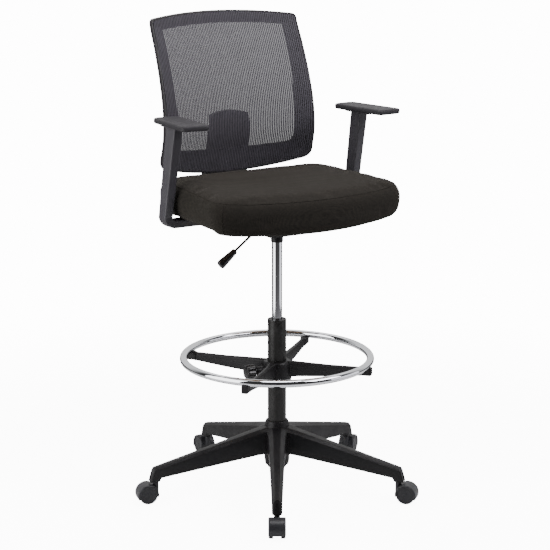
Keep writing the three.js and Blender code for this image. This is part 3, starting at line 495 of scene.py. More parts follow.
def knit_mesh(name):
    """Open knit: stout ribs up the back, with fine half-clear threads across and holes between them."""
    rib_pitch, row_pitch = 0.0052, 0.0026
    shader = Shader(name, Roughness=0.7, Specular_IOR_Level=0.35, Sheen_Weight=0.25, Sheen_Roughness=0.4)
    x, _, z = shader.axes()[:3]
    rib = wave_over(shader, x, rib_pitch)
    row = wave_over(shader, z, row_pitch)
    rib_mask = shader.spread(rib, 0.22, 0.32)
    row_mask = shader.spread(row, 0.35, 0.5, 0, 0.55)
    thread = shader.maths("MAXIMUM", rib_mask, row_mask)
    shader.set(Alpha=thread)
    drift = shader.noise(30, 3)
    cloth = shader.mix(drift, (0.041, 0.037, 0.048, 1), (0.055, 0.05, 0.063, 1))
    shader.set(Base_Color=shader.mix(shader.spread(rib, 0.3, 1.0), (0.03, 0.027, 0.032, 1), cloth))
    twist = shader.noise(1800, 2, 0.5)
    threads = shader.maths("MAXIMUM", rib, shader.maths("MULTIPLY", row, 0.6))
    shader.bump(shader.maths("MULTIPLY_ADD", twist, 0.25, threads), 0.0006, 0.7)
    return shader.material


def wave_over(shader, coordinate, pitch):
    """0 to 1 and back again over each pitch along a coordinate."""
    turn = shader.maths("MULTIPLY", coordinate, 2 * math.pi / pitch)
    return shader.maths("MULTIPLY_ADD", shader.maths("SINE", turn), 0.5, 0.5)


def arm_pad_skin(name):
    """Soft moulded polyurethane: fine leather-like pebble, with smudges where forearms rest."""
    shader = Shader(name, Specular_IOR_Level=0.2)
    pebble = shader.cells(1150)
    crease = shader.cells(520, "DISTANCE_TO_EDGE")
    drift = shader.noise(14, 3)
    shader.set(Base_Color=shader.mix(drift, (0.021, 0.0198, 0.0224, 1), (0.029, 0.0272, 0.0308, 1)))
    shader.set(Roughness=shader.spread(shader.noise(45, 4, 0.6), 0.35, 0.7, 0.5, 0.64))
    shader.bump(shader.maths("MULTIPLY_ADD", shader.spread(crease, 0, 0.2), 0.5, pebble), 0.00012)
    return shader.material


def plywood(name):
    """Birch plywood: long grain on the faces, and thin plies in its edges."""
    shader = Shader(name, Roughness=0.6, Specular_IOR_Level=0.3)
    grain = shader.noise(9, 5, 0.6, shader.stretch(1, 14, 14))
    plies = wave_over(shader, shader.axes()[2], 0.0028)
    wood = shader.mix(grain, (0.36, 0.22, 0.11, 1), (0.58, 0.41, 0.24, 1))
    shader.set(Base_Color=shader.mix(shader.spread(plies, 0.4, 0.6, 0, 0.25), wood, (0.25, 0.14, 0.07, 1)))
    shader.bump(grain, 0.0002, 0.5)
    return shader.material


def acetal(name):
    shader = Shader(name, Roughness=0.35, Subsurface_Weight=0.1)
    shader.set(Base_Color=shader.mix(shader.noise(80, 3), (0.6, 0.58, 0.54, 1), (0.7, 0.68, 0.65, 1)))
    shader.bump(shader.noise(400, 2), 0.00003)
    return shader.material


NYLON = moulded("base_nylon", (0.0066, 0.006, 0.0068), 0.42, 800, 0.00005, 0.04, 0.26)
CASTER_NYLON = moulded("caster_nylon", (0.017, 0.017, 0.02), 0.4, 1200, 0.00003)
TREAD = moulded("wheel_tread", (0.0125, 0.0125, 0.015), 0.45, 1500, 0.00003, 0.1)
BACK_PLASTIC = moulded("back_plastic", (0.0088, 0.0076, 0.0086), 0.42, 1000, 0.00003, 0.04, 0.42)
ARM_PLASTIC = moulded("armrest_plastic", (0.042, 0.0395, 0.0455), 0.45, 1100, 0.00005)
KNOB_PLASTIC = moulded("knob_plastic", (0.011, 0.0105, 0.011), 0.22, 1600, 0.00002)
PAD_SKIN = arm_pad_skin("armrest_pad")
BLACK_STEEL = painted_steel("black_steel", (0.008, 0.0072, 0.0068, 1), 0.36)
CHROME = chrome_plate("chrome")
STEEL = turned_steel("bare_steel")
FABRIC = upholstery("seat_fabric")
KNIT = knit_mesh("back_mesh")
PLYWOOD = plywood("plywood")
ACETAL = acetal("gland_plastic")


# ---- camera, light and floor


def look_from(azimuth, elevation, distance):
    flat, rise = distance * math.cos(elevation), distance * math.sin(elevation)
    return CAMERA_TARGET + Vector((math.sin(azimuth) * flat, -math.cos(azimuth) * flat, rise))


def make_camera():
    data = bpy.data.cameras.new("camera")
    data.lens = CAMERA_LENS
    data.sensor_width = 36
    camera = new_object("camera", data)
    camera.location = look_from(CAMERA_AZIMUTH, CAMERA_ELEVATION, CAMERA_DISTANCE)
    camera.rotation_euler = (math.pi / 2 - CAMERA_ELEVATION, 0, CAMERA_AZIMUTH)
    bpy.context.scene.camera = camera


def soft_box(name, azimuth, distance, size, watts, colour, height=None):
    """A soft box at an azimuth from the camera's, standing on the floor or hung at a height."""
    data = bpy.data.lights.new(name, "AREA")
    data.shape = "RECTANGLE"
    data.size, data.size_y = size
    data.energy = watts
    data.color = colour
    light = new_object(name, data)
    angle = CAMERA_AZIMUTH + math.radians(azimuth)
    middle = size[1] / 2 + 0.02 if height is None else height
    light.location = COLUMN + Vector((math.sin(angle) * distance, -math.cos(angle) * distance, middle))
    aim = CAMERA_TARGET - light.location if height else COLUMN - light.location + Vector((0, 0, middle))
    light.rotation_euler = aim.to_track_quat("-Z", "Y").to_euler()
    light.visible_camera = False


def make_lights():
    """Soft boxes: overhead, high on the right, over the back, and two that stand left and right."""
    soft_box("light_top", 180, 0.5, (2.4, 2.6), 27, (1, 0.98, 0.97), 2.5)
    soft_box("light_key", 64, 1.9, (1.7, 1.0), 48, (0.97, 0.96, 1), 2.2)
    soft_box("light_back", 10, 0.5, (0.9, 0.4), 12, (0.97, 0.96, 1), 2.0)
    soft_box("light_left", -62, 1.6, (1.3, 2.2), 42, (1, 1, 1))
    soft_box("light_right", 82, 1.7, (1.3, 1.0), 6, (0.95, 0.95, 1))


def make_world():
    """Even white to the camera and dim through the mesh. As a light, a far wall, dark behind the camera."""
    world = bpy.data.worlds.new("studio")
    bpy.context.scene.world = world
    world.use_nodes = True
    tree = world.node_tree
    tree.nodes.clear()
    link = tree.links.new
    path, place, seen, around, pick, through, wall, away, output = (
        tree.nodes.new("ShaderNode" + kind) for kind in (
            "LightPath", "TexCoord", "Background", "Background", "MixShader", "MapRange", "MapRange",
            "VectorMath", "OutputWorld"))
    through.inputs["To Min"].default_value = WHITE
    through.inputs["To Max"].default_value = SEEN_THROUGH
    link(path.outputs["Transparent Depth"], through.inputs["Value"])
    link(through.outputs[0], seen.inputs["Strength"])
    away.operation = "DOT_PRODUCT"
    away.inputs[1].default_value = (-math.sin(CAMERA_AZIMUTH), math.cos(CAMERA_AZIMUTH), 0)
    link(place.outputs["Generated"], away.inputs[0])
    wall.interpolation_type = "SMOOTHSTEP"
    for name, value in (("From Min", 0.1), ("From Max", 0.7), ("To Min", 0.05), ("To Max", FAR_WALL)):
        wall.inputs[name].default_value = value
    link(away.outputs["Value"], wall.inputs["Value"])
    link(wall.outputs[0], around.inputs["Strength"])
    link(path.outputs["Is Camera Ray"], pick.inputs["Fac"])
    link(around.outputs[0], pick.inputs[1])
    link(seen.outputs[0], pick.inputs[2])
    link(pick.outputs[0], output.inputs["Surface"])


def make_floor():
    """A pale floor with soft shadows near the object, even white further off, and dim through the mesh."""
    half = FLOOR_SIZE / 2
    corners = [(-half, -half, 0), (half, -half, 0), (half, half, 0), (-half, half, 0)]
    floor = add_piece("floor", corners, [(0, 1, 2, 3)])
    shader = Shader("floor", Roughness=0.9, Specular_IOR_Level=0.0)
    path = shader.add("LightPath").outputs
    reach = shader.add("VectorMath", {"operation": "DISTANCE"}, i0=shader.place, i1=tuple(COLUMN))
    away = reach.outputs["Value"]
    # painted shade: to bounced and reflected rays, the floor's colour goes from pale near the chair to dark
    # further off
    shader.set(Base_Color=shader.mix(shader.spread(away, 0.5, 1.8), grey(0.75), grey(0.12)))
    lit = shader.add("BsdfDiffuse", Color=grey(1.0))
    glow = shader.add("Emission", Color=grey(1.0), Strength=WHITE * 0.75)
    near = shader.add("AddShader", i0=lit.outputs[0], i1=glow.outputs[0])
    even = shader.add("Emission", Color=grey(1.0), Strength=WHITE)
    seen = shader.add("MixShader", Fac=shader.spread(away, 0.7, 2.2), i1=near.outputs[0], i2=even.outputs[0])
    through = shader.add("Emission", Color=grey(1.0), Strength=SEEN_THROUGH)
    depth = shader.spread(path["Transparent Depth"], 0.0, 1.0)
    seen = shader.add("MixShader", Fac=depth, i1=seen.outputs[0], i2=through.outputs[0])
    bounced = shader.add("MixShader", Fac=path["Is Camera Ray"], i1=shader.surface.outputs[0],
                         i2=seen.outputs[0])
    output = next(n for n in shader.tree.nodes if n.type == "OUTPUT_MATERIAL")
    shader.tree.links.new(bounced.outputs[0], output.inputs["Surface"])
    floor.data.materials.append(shader.material)


# ---- five-arm base


def arm_top(r):
    return 0.096 + (0.34 - r) * 0.268


def arm_bottom(r):
    return 0.0665 + (0.326 - r) * 0.143


def arm_ring(r, width, top, bottom, lean=0.0):
    """A section of a base arm: a flat ridge, two bevels, upright sides and a rounded foot."""
    half = width / 2
    ridge = half * ARM_RIDGE
    right = [(half - 0.001, bottom, 0.0012), (half, bottom + 0.004, 0.0012), (half, top - ARM_BEVEL, 0.0012),
             (ridge, top, 0.0012)]
    return [(r + lean * (top - z) / (top - bottom), y, z) for y, z in both_sides(right)]


def base_arm(name):
    """One arm along +X: a tapering beam and, past it, the taller end with its sloping face."""
    rings = [arm_ring(r, width, arm_top(r), arm_bottom(r)) for r, width in ARM_WIDTHS]
    for r, width, top_at, rise, lean in ARM_END:
        rings.append(arm_ring(r, width, arm_top(top_at), ARM_END_BOTTOM + rise, lean))
    return loft(name, rings, Matrix.Identity(4))


def pointed_recess():
    """The hollow with a pointed top in an arm's sloping end face."""
    outline = [(-0.0048, -0.01), (0.0048, -0.01), (0.0046, 0.012), (0.003, 0.024), (0, 0.032),
               (-0.003, 0.024), (-0.0046, 0.012)]
    rings = [[(depth, y, z) for y, z in outline] for depth in (-0.0025, 0.02)]
    lean = Matrix.Rotation(-math.atan2(0.0108, 0.038), 4, "Y")
    return loft("recess", rings, Matrix.Translation((0.3553, 0, ARM_END_BOTTOM)) @ lean)


def arm_pockets():
    """The hollows between the ribs on an arm's underside."""
    tools = []
    for start, end in ((0.078, 0.13), (0.136, 0.19), (0.196, 0.25), (0.256, 0.31)):
        rings = []
        for r in (start, end):
            half = (0.046 - (r - 0.06) * 0.07) / 2 - 0.0045
            low, high = arm_bottom(r) - 0.005, arm_top(r) - 0.014
            section = rounded([(half, low, 0), (half, high, 0.003), (-half, high, 0.003), (-half, low, 0)], 3)
            rings.append([(r, y, z) for y, z in section])
        tools.append(loft("pocket", rings, Matrix.Identity(4)))
    return tools


def make_base():
    hub = lathe("star_base_fine", turned([
        (0, 0.07, 0), (0.0315, 0.07, 0.0015), (0.0335, 0.081, 0.004), (0.035, 0.1, 0.004),
        (0.035, 0.15, 0.01), (0.0336, 0.178, 0.006), (0.0312, 0.19, 0.002), (0.0294, 0.194, 0.001),
        (0, 0.194, 0)]))
    for k in CASTERS:
        arm = base_arm("arm")
        combine(arm, pointed_recess())
        for pocket in arm_pockets():
            combine(arm, pocket)
        arm.data.transform(TO_COLUMN @ Matrix.Rotation(arm_turn(k), 4, "Z"))
        combine(hub, arm, "UNION")
    bore(hub, 0.0254, 0, 0.3, SIDES)
    smooth(hub, 28)
    return dress(hub, "base", "base_nylon", NYLON, "star_base")


# ---- casters


def caster_place(k):
    """The place of caster k: its stem is the Z axis, and its wheels trail towards +X."""
    stem = joint_place(f"caster_{k}_swivel")
    trail = joint_place(f"wheel_{k}_left_spin") - stem
    return Matrix.Translation((stem.x, stem.y, 0)) @ Matrix.Rotation(math.atan2(trail.y, trail.x), 4, "Z")


HOOD_RADIUS = 0.0285
HOOD_HALF = 0.0224
HOOD_START, HOOD_END = math.radians(-22), math.radians(192)
WHEEL_OFFSET, WHEEL_HALF = 0.0155, 0.006


def arc_sweep(name, section, steps, place):
    """A section of (across, radius) points, swept round the caster's axle."""
    rings = []
    for i in range(steps + 1):
        angle = HOOD_START + (HOOD_END - HOOD_START) * i / steps
        along, up = math.cos(angle), math.sin(angle)
        rings.append([(CASTER_TRAIL + r * along, y, WHEEL_RADIUS + r * up) for y, r in section])
    return loft(name, rings, place)


def caster_hood(k):
    """The hood: a full-width cover with rounded shoulders, a middle web and the boss of the stem."""
    place = caster_place(k)
    web, wall, lip = 0.0083, 0.0024, 0.003
    inner = HOOD_RADIUS - wall
    half = HOOD_HALF
    cover = arc_sweep(f"caster_{k}_hood_fine", rounded([
        (-half, inner - lip, 0.0004), (-half, HOOD_RADIUS, 0.0045), (half, HOOD_RADIUS, 0.0045),
        (half, inner - lip, 0.0004), (half - 0.0009, inner - lip, 0.0004), (half - 0.0011, inner, 0.002),
        (-half + 0.0011, inner, 0.002), (-half + 0.0009, inner - lip, 0.0004)], 5), 48, place)
    web_section = [(-web, 0.0034), (-web, inner + 0.0008), (web, inner + 0.0008), (web, 0.0034)]
    core = arc_sweep("core", web_section, 48, place)
    boss = lathe("boss", turned([(0.0054, 0.028, 0), (0.008, 0.028, 0), (0.008, 0.0556, 0.0012),
                                 (0.0054, 0.0556, 0.0004)]), 40, place)
    combine(cover, core, "UNION")
    combine(cover, boss, "UNION")
    smooth(cover, 35)
    return dress(cover, f"caster_{k}", "caster_nylon", CASTER_NYLON, f"caster_{k}_hood")


def caster_wheel(k, side, label):
    """A twin wheel's half: a crowned tread, a raised rim ring, a dished face and a round cap."""
    place = caster_place(k) @ Matrix.Translation((CASTER_TRAIL, side * WHEEL_OFFSET, WHEEL_RADIUS))
    place = place @ Matrix.Rotation(-side * math.pi / 2, 4, "X")
    rim, half = WHEEL_RADIUS, WHEEL_HALF
    face = half - 0.0012
    profile = turned([
        (0, face + 0.0006, 0), (0.006, face + 0.0006, 0.0008), (0.0064, face, 0.0005), (0.0208, face, 0.001),
        (0.0216, half, 0.0008), (rim - 0.0024, half, 0.0008), (rim, half - 0.0022, 0.0014),
        (rim, -half + 0.001, 0.0008), (rim - 0.001, -half, 0.0003), (0.0034, -half, 0.0002),
        (0.0034, 0.0022, 0.0002), (0, 0.0022, 0)], 4)
    wheel = lathe(f"caster_{k}_wheel_{label}_fine", profile, 72, place)
    smooth(wheel, 35)
    return dress(wheel, f"wheel_{k}_{label}", "wheel_tread", TREAD, f"caster_{k}_wheel_{label}")


def make_casters():
    for k in CASTERS:
        caster_hood(k)
        caster_wheel(k, 1, "left")
        caster_wheel(k, -1, "right")
        dress_node(f"caster_{k}_stem", STEEL, 0.0003)
        dress_node(f"caster_{k}_axle", STEEL, 0.0003)


# ---- gas column


def column_part(node, body, slot, material, corners):
    """A turned part of the column, in place of the CAD node of the same name."""
    part = lathe(f"{node}_fine", turned(corners))
    dress(smooth(part, 50), body, slot, material, node)


def make_column():
    column_part("outer_tube", "base", "black_steel", BLACK_STEEL, [
        (0.0065, 0.062, 0.0002), (0.0245, 0.062, 0.001), (0.025, 0.0635, 0.0006), (0.025, 0.468, 0.002),
        (0.0252, 0.474, 0.0017), (0.023, 0.474, 0.0012), (0.023, 0.066, 0.0002),
        (0.0065, 0.066, 0.0002)])
    column_part("pressure_tube", "seat", "chrome", CHROME, [
        (0.0034, 0.7415, 0.0002), (0.0128, 0.7415, 0.0006), (0.0133, 0.738, 0.001), (0.014, 0.702, 0.002),
        (0.014, 0.301, 0.0008), (0.0132, 0.3, 0.0004), (0.0122, 0.3, 0.0002), (0.0122, 0.716, 0.0005),
        (0.0034, 0.716, 0.0002)])
    column_part("column_collar", "seat", "base_nylon", NYLON, [
        (0.01435, 0.682, 0.0003), (0.0152, 0.682, 0.0004), (0.0164, 0.684, 0.0012), (0.0164, 0.6995, 0.0005),
        (0.01435, 0.6995, 0.0003)])
    dress_node("guide_bush", NYLON, 0.0003)
    dress_node("rod_gland", ACETAL, 0.0003)
    for name in ("thrust_bearing", "retaining_clip", "piston_rod", "release_pin"):
        dress_node(name, STEEL, 0.0003)


# ---- foot ring

RING_RADIUS = 0.249
RING_TUBE = 0.01
RING_HEIGHT = 0.368
SPIDER_FIRST = math.radians(-18.5)
KNOB_ANGLE = math.radians(205)
KNOB_HEIGHT = 0.336
# sections along a spider arm: distance from the column, width, top and bottom
RIB_STATIONS = [(0.03, 0.022, 0.361, 0.317), (0.06, 0.014, 0.361, 0.321), (0.15, 0.012, 0.36, 0.329),
                (0.232, 0.013, 0.3615, 0.339)]
SADDLE_STATIONS = [(0.229, 0.0132, 0.3612, 0.3392), (0.2315, 0.0175, 0.3625, 0.3385),
                   (0.235, 0.018, 0.364, 0.34), (0.2578, 0.018, 0.364, 0.34),
                   (0.2605, 0.0168, 0.3632, 0.3408), (0.2618, 0.014, 0.362, 0.343)]


def rib_ring(r, width, top, bottom):
    """A section of a spider arm at radius r: a tall rib with a bevelled, slightly wider top."""
    half = width / 2
    right = [(half * 0.75, bottom, 0.001), (half, bottom + 0.003, 0.0015), (half, top - 0.003, 0.0015),
             (half * 0.6, top, 0.0012)]
    return [(r, y, z) for y, z in both_sides(right)]


def spider_arm(place):
    """One arm: a rib that narrows outwards, and the saddle that holds the ring."""
    rib = loft("rib", [rib_ring(*station) for station in RIB_STATIONS], place)
    saddle = loft("saddle", [rib_ring(*station) for station in SADDLE_STATIONS], place)
    combine(rib, saddle, "UNION")
    return rib


def make_spider():
    base = TO_COLUMN @ Matrix.Rotation(BASE_TURN, 4, "Z")
    hub = lathe("footring_hub_fine", turned([
        (0, 0.3, 0), (0.036, 0.3, 0.001), (0.038, 0.304, 0.002), (0.04, 0.318, 0.004), (0.04, 0.346, 0.005),
        (0.037, 0.357, 0.003), (0.034, 0.36, 0.0015), (0, 0.36, 0)]), SIDES, base)
    for k in range(4):
        place = base @ Matrix.Rotation(SPIDER_FIRST + k * math.pi / 2, 4, "Z")
        combine(hub, spider_arm(place), "UNION")
    sideways = base @ Matrix.Rotation(KNOB_ANGLE, 4, "Z") @ Matrix.Translation((0, 0, KNOB_HEIGHT))
    sideways = sideways @ Matrix.Rotation(math.pi / 2, 4, "Y")
    boss_profile = turned([(0, 0.03, 0), (0.012, 0.03, 0), (0.012, 0.061, 0.0012), (0, 0.061, 0)])
    boss = lathe("boss", boss_profile, 40, sideways)
    combine(hub, boss, "UNION")
    bore(hub, 0.0044, 0.01, 0.1, place=sideways)
    bore(hub, 0.0255, 0, 0.5, SIDES)
    channel = lathe("channel", circle(RING_TUBE + 0.0006, 32, (RING_RADIUS, RING_HEIGHT)), 160)
    combine(hub, channel)
    dress(smooth(hub, 28), "footrest", "base_nylon", NYLON, "footring_hub")
    ring = lathe("foot_ring_fine", circle(RING_TUBE, 32, (RING_RADIUS, RING_HEIGHT)), 192)
    dress(smooth(ring, 60), "footrest", "chrome", CHROME, "foot_ring")
    make_knob(sideways)


def make_knob(place):
    """The clamp's lobed knob, with soft lobes, a domed end and a waisted neck."""
    rings = []
    profile = turned([
        (0.001, 0.0615, 0), (0.01, 0.0615, 0.0006), (0.0104, 0.066, 0.001), (0.019, 0.0672, 0.0012),
        (0.0202, 0.07, 0.0015), (0.0202, 0.0885, 0.0018), (0.018, 0.092, 0.002), (0.001, 0.0925, 0)])
    for radius, height in profile:
        share = clamped((radius - 0.012) / 0.007)
        ring = []
        for i in range(SIDES):
            angle = 2 * math.pi * i / SIDES
            r = radius - share * 0.001 * (1 - math.cos(8 * angle))
            ring.append((r * math.cos(angle), r * math.sin(angle), height))
        rings.append(ring)
    knob = loft("clamp_knob_fine", rings, place)
    bore(knob, 0.00435, 0, 0.0864, place=place)
    dress(smooth(knob, 40), "clamp", "base_nylon", KNOB_PLASTIC, "clamp_knob")
    dress_node("clamp_stud", STEEL, 0.0002)


# ---- lever


LEVER_START, LEVER_END = Vector((-0.06, -0.01, 0.7296)), Vector((-0.1816, -0.01, 0.641))
GRIP_LENGTH = 0.058


def make_lever():
    """The height lever's grip: a tapered handle with an oval section, on the CAD rod."""
    dress_node("lever_rod", BLACK_STEEL, 0)
    along = (LEVER_END - LEVER_START).normalized()
    place = TO_COLUMN @ Matrix.Translation(LEVER_END - along * GRIP_LENGTH)
    place = place @ Vector((0, 0, 1)).rotation_difference(along).to_matrix().to_4x4()
    corners = [(0.0002, 0, 0), (0.0068, 0, 0.0006), (0.0078, 0.002, 0.0012), (0.0088, 0.012, 0.003),
               (0.011, 0.034, 0.01), (0.0126, 0.049, 0.005), (0.0122, 0.055, 0.002), (0.009, 0.058, 0.0015),
               (0.0002, 0.0577, 0)]
    rings = []
    for radius, height in turned(corners, 6):
        flat = 1 - 0.22 * min(1.0, height / GRIP_LENGTH)
        rings.append([(x, y * flat, height) for x, y in circle(radius, 48)])
    grip = loft("lever_handle_fine", rings, place)
    bore(grip, 0.0039, -0.005, 0.04, place=place)
    dress(smooth(grip, 40), "lever", "base_nylon", KNOB_PLASTIC, "lever_handle")


# ---- seat


def seat_outline(grow=0.0, steps=8):
    """The seat's plan outline, moved outwards by grow."""
    (rear, rear_y), (front, front_y) = SEAT_REAR, SEAT_FRONT
    corners = rounded([(rear, rear_y, SEAT_CORNER), (-rear, rear_y, SEAT_CORNER),
                       (-front, front_y, SEAT_CORNER), (front, front_y, SEAT_CORNER)], steps)
    middle = (rear_y + front_y) / 2
    wider, deeper = 1 + grow / front, 1 + grow / (rear_y - middle)
    outline = []
    for p in spaced(corners, 0.012):
        bow = SEAT_BOW * (1 - (p.x / front) ** 2) if p.y < middle else 0
        outline.append((p.x * wider, middle + (p.y - bow - middle) * deeper))
    return outline


def seat_top(y):
    forward = max(0.0, SEAT_REAR[1] - y) / (SEAT_REAR[1] - SEAT_FRONT[1])
    return SEAT_TOP - SEAT_DROP * forward ** 2.8


def seat_bottom(y):
    forward = clamped((-0.11 - y) / 0.12)
    return SEAT_BOTTOM - SEAT_SAG * forward ** 1.4


def seat_ring(grow, level, lift=0.0):
    """One level of the cushion: level 0 is its lower edge and 1 its upper edge."""
    ring = []
    for x, y in seat_outline(grow):
        low, high = seat_bottom(y), seat_top(y)
        ring.append((x, y, low + (high - low) * level + lift))
    return ring


def cushion_form(inset):
    """The padded form, in (grow, level, lift) rings from under the board's edge to the crown."""
    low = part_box("seat_board")[0].z - SEAT_BOTTOM - 0.0001
    levels = [(-0.041, 0, low), (-0.03, 0, low), (-0.022, 0, low), (-0.013, 0, low * 0.8),
              (-0.005, 0, -0.0015), (0.0005, 0.025, 0)]
    levels += [(grow, level, 0) for grow, level in SIDE_LEVELS]
    levels += [(0.001, 0.94, 0), (-0.005, 0.985, 0), (-0.014, 1.02, 0), (-0.03, 1.05, 0), (-0.06, 1.073, 0),
               (-0.1, 1.085, 0), (-0.14, 1.09, 0), (-0.165, 1.092, 0)]
    rings = [seat_ring(grow - (inset if level else 0), level, lift - (inset / 2 if level > 1 else 0))
             for grow, level, lift in levels]
    return loft("seat_cushion_fine", rings)


def fill_out(obj, most):
    """Lets the cloth swell under pressure, held where it is stapled below, and caps how far it moves."""
    group = obj.vertex_groups.new(name="held")
    start = [v.co.copy() for v in obj.data.vertices]
    low = min(co.z for co in start)
    held = [v.index for v in obj.data.vertices if v.co.z < low + CLOTH_HELD]
    group.add(held, 1.0, "REPLACE")
    cloth = obj.modifiers.new("cloth", "CLOTH")
    settings = cloth.settings
    settings.vertex_group_mass = "held"
    settings.use_pressure = True
    settings.uniform_pressure_force = 4
    settings.effector_weights.gravity = 0
    settings.tension_stiffness = settings.compression_stiffness = 25
    for step in range(1, CLOTH_STEPS + 1):
        bpy.context.scene.frame_set(step)
    apply_modifiers(obj)
    bpy.context.scene.frame_set(1)
    for vertex, before in zip(obj.data.vertices, start):
        move = vertex.co - before
        if move.length > most:
            vertex.co = before + move * (most / move.length)


def ease(obj, times):
    """Evens out the mesh's small bumps."""
    even = obj.modifiers.new("even", "SMOOTH")
    even.factor = 0.5
    even.iterations = times
    apply_modifiers(obj)


def make_cushion():
    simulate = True
    cushion = cushion_form(CLOTH_INSET if simulate else 0.0)
    if simulate:
        remesh = cushion.modifiers.new("remesh", "REMESH")
        remesh.mode = "VOXEL"
        remesh.voxel_size = CLOTH_GRAIN
        ease(cushion, 2)
        fill_out(cushion, CLOTH_SWELL)
        ease(cushion, 3)
    cushion.modifiers.new("fine", "SUBSURF").levels = 1
    apply_modifiers(cushion)
    board_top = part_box("seat_board")[1].z
    combine(cushion, prism("recess", seat_outline(-BOARD_INSET + 0.0004), 0.7, board_top + 0.0004))
    smooth(cushion, 60)
    dress(cushion, "seat", "seat_fabric", FABRIC, "seat_cushion")
    return cushion


def seam(cushion, path, closed=False):
    """A thin raised seam laid on the cushion's surface along a path of points."""
    nearest = [cushion.closest_point_on_mesh(TO_COLUMN @ Vector(p)) for p in path]
    laid = [(point, normal) for found, point, normal, _ in nearest if found]
    rings = []
    for i, (point, normal) in enumerate(laid):
        after = laid[(i + 1) % len(laid)][0] if closed or i + 1 < len(laid) else point
        along = (after - laid[i - 1][0] if closed or i else after - point).normalized()
        side = along.cross(normal).normalized()
        rings.append([point + side * x * 1.3 + normal * y for x, y in circle(SEAM_RADIUS, 8)])
    return loft("seam", rings, Matrix.Identity(4), closed)


def make_seams(cushion):
    """The cover's seams: up each corner, and round the upper edge where the sides meet the top panel."""
    rings = [seat_ring(grow, level) for grow, level in [(-0.004, -0.01), *SIDE_LEVELS, (-0.002, 0.965)]]
    upper = seat_ring(-0.0035, 0.975)
    seams = seam(cushion, upper, closed=True)
    for corner in corner_indexes(upper):
        path = []
        for here, there in zip(rings, rings[1:]):
            path += [Vector(here[corner]).lerp(Vector(there[corner]), k / 4) for k in range(4)]
        join(seams, seam(cushion, path))
    seams.name = "seat_seams"
    return dress(smooth(seams, 60), "seat", "seat_fabric", FABRIC)


# ---- armrests


def mirrored(side):
    return TO_COLUMN @ Matrix.Diagonal((side, 1, 1, 1))


def arm_station(x, y, z, angle, thickness, width):
    """A section of the armrest's frame with small rounded corners, square to its line."""
    out = Vector((math.cos(angle), 0, -math.sin(angle)))
    outline = rounded_box(thickness / 2, width / 2, 0.003, 4)
    return [Vector((x, y, z)) + out * u + Vector((0, v, 0)) for u, v in outline]


def arm_frame(side, label):
    """The one-piece arm: a leaning upright, a round elbow and a flat bracket under the seat."""
    bend, leg, leg_width = 0.022, 0.0245, (0.0455, 0.036)
    middle = BRACKET + BRACKET_THICKNESS / 2
    bend_top = middle + bend
    top = PAD_TOP - PAD_THICKNESS - 0.0043
    rings = []
    for k in range(11):
        step = k / 10
        rings.append(arm_station(
            between(UPRIGHT_TOP[0], UPRIGHT_BOTTOM[0], step),
            between(UPRIGHT_TOP[1], UPRIGHT_BOTTOM[1] - 0.002, step), between(top, bend_top, step), 0,
            leg - 0.001 * step, between(*leg_width, step)))
    for k in range(1, 11):
        step = k / 10
        angle = math.pi / 2 * step
        rings.append(arm_station(
            UPRIGHT_BOTTOM[0] - bend + bend * math.cos(angle), UPRIGHT_BOTTOM[1],
            bend_top - bend * math.sin(angle), angle,
            leg - 0.001 + (BRACKET_THICKNESS - leg + 0.001) * step, leg_width[1] + 0.001 * step))
    for x, width, less in ((0.24, 0.0377, 0), (0.2, 0.0385, 0), (0.152, 0.04, 0), (0.15, 0.038, 0.002)):
        rings.append(arm_station(x, UPRIGHT_BOTTOM[1], middle, math.pi / 2, BRACKET_THICKNESS - less, width))
    arm = loft(f"armrest_frame_{label}_fine", rings, mirrored(side))
    plate = rounded_box(0.021, 0.052, 0.008, 5)
    flange = loft("flange", [
        [(UPRIGHT_TOP[0] + x * s, UPRIGHT_TOP[1] - 0.012 + y * s, top + z) for x, y in plate]
        for s, z in ((0.94, -0.0006), (1.0, 0.0008), (1.0, 0.0038))], mirrored(side))
    combine(arm, flange, "UNION")
    bore(arm, 0.0034, 0.7, 0.8, place=mirrored(side) @ Matrix.Translation((0.178, UPRIGHT_BOTTOM[1], 0)))
    return dress(smooth(arm, 30), "seat", "armrest_plastic", ARM_PLASTIC, f"armrest_frame_{label}")


def arm_pad(side, label):
    """The pad: a slab with a bevelled upper edge, wider at the front, and dished a little on top."""
    bottom = PAD_TOP - PAD_THICKNESS
    half_x, half_y = PAD_HALF
    levels = [(-0.005, 0.0), (-0.0018, 0.0013), (-0.0004, 0.0035), (0.0, 0.006), (0.0, 0.0098),
              (-0.0004, 0.0118), (-0.0016, 0.0134), (-0.004, 0.0147), (-0.0055, 0.015), (-0.012, 0.0146),
              (-0.02, 0.0142), (-0.028, 0.014)]
    rings = []
    for grow, rise in levels:
        x, y = half_x + grow, half_y + grow
        shrink = 1 + grow / half_x
        outline = rounded([(x - 0.001, y, 0.018 * shrink), (-x + 0.001, y, 0.018 * shrink),
                           (-x - 0.001, -y, 0.013 * shrink), (x + 0.001, -y, 0.013 * shrink)], 8)
        rings.append([(p.x, p.y, bottom + rise) for p in outline])
    place = mirrored(side) @ Matrix.Translation((*PAD_CENTRE, 0)) @ Matrix.Rotation(PAD_TOE_OUT, 4, "Z")
    pad = loft(f"armrest_pad_{label}_fine", rings, place)
    dress(smooth(pad, 40), "seat", "armrest_pad", PAD_SKIN, f"armrest_pad_{label}")
    return pad


def make_armrests():
    for side, label in ((1, "left"), (-1, "right")):
        arm_frame(side, label)
        arm_pad(side, label)
        dress_node(f"armrest_bolt_{label}", BLACK_STEEL, 0.0004)


# ---- backrest


def edge_share(z):
    """How far up the back's side edge a height is, from 0 to 1."""
    return clamped((z - EDGE_LOW) / (EDGE_HIGH - EDGE_LOW))


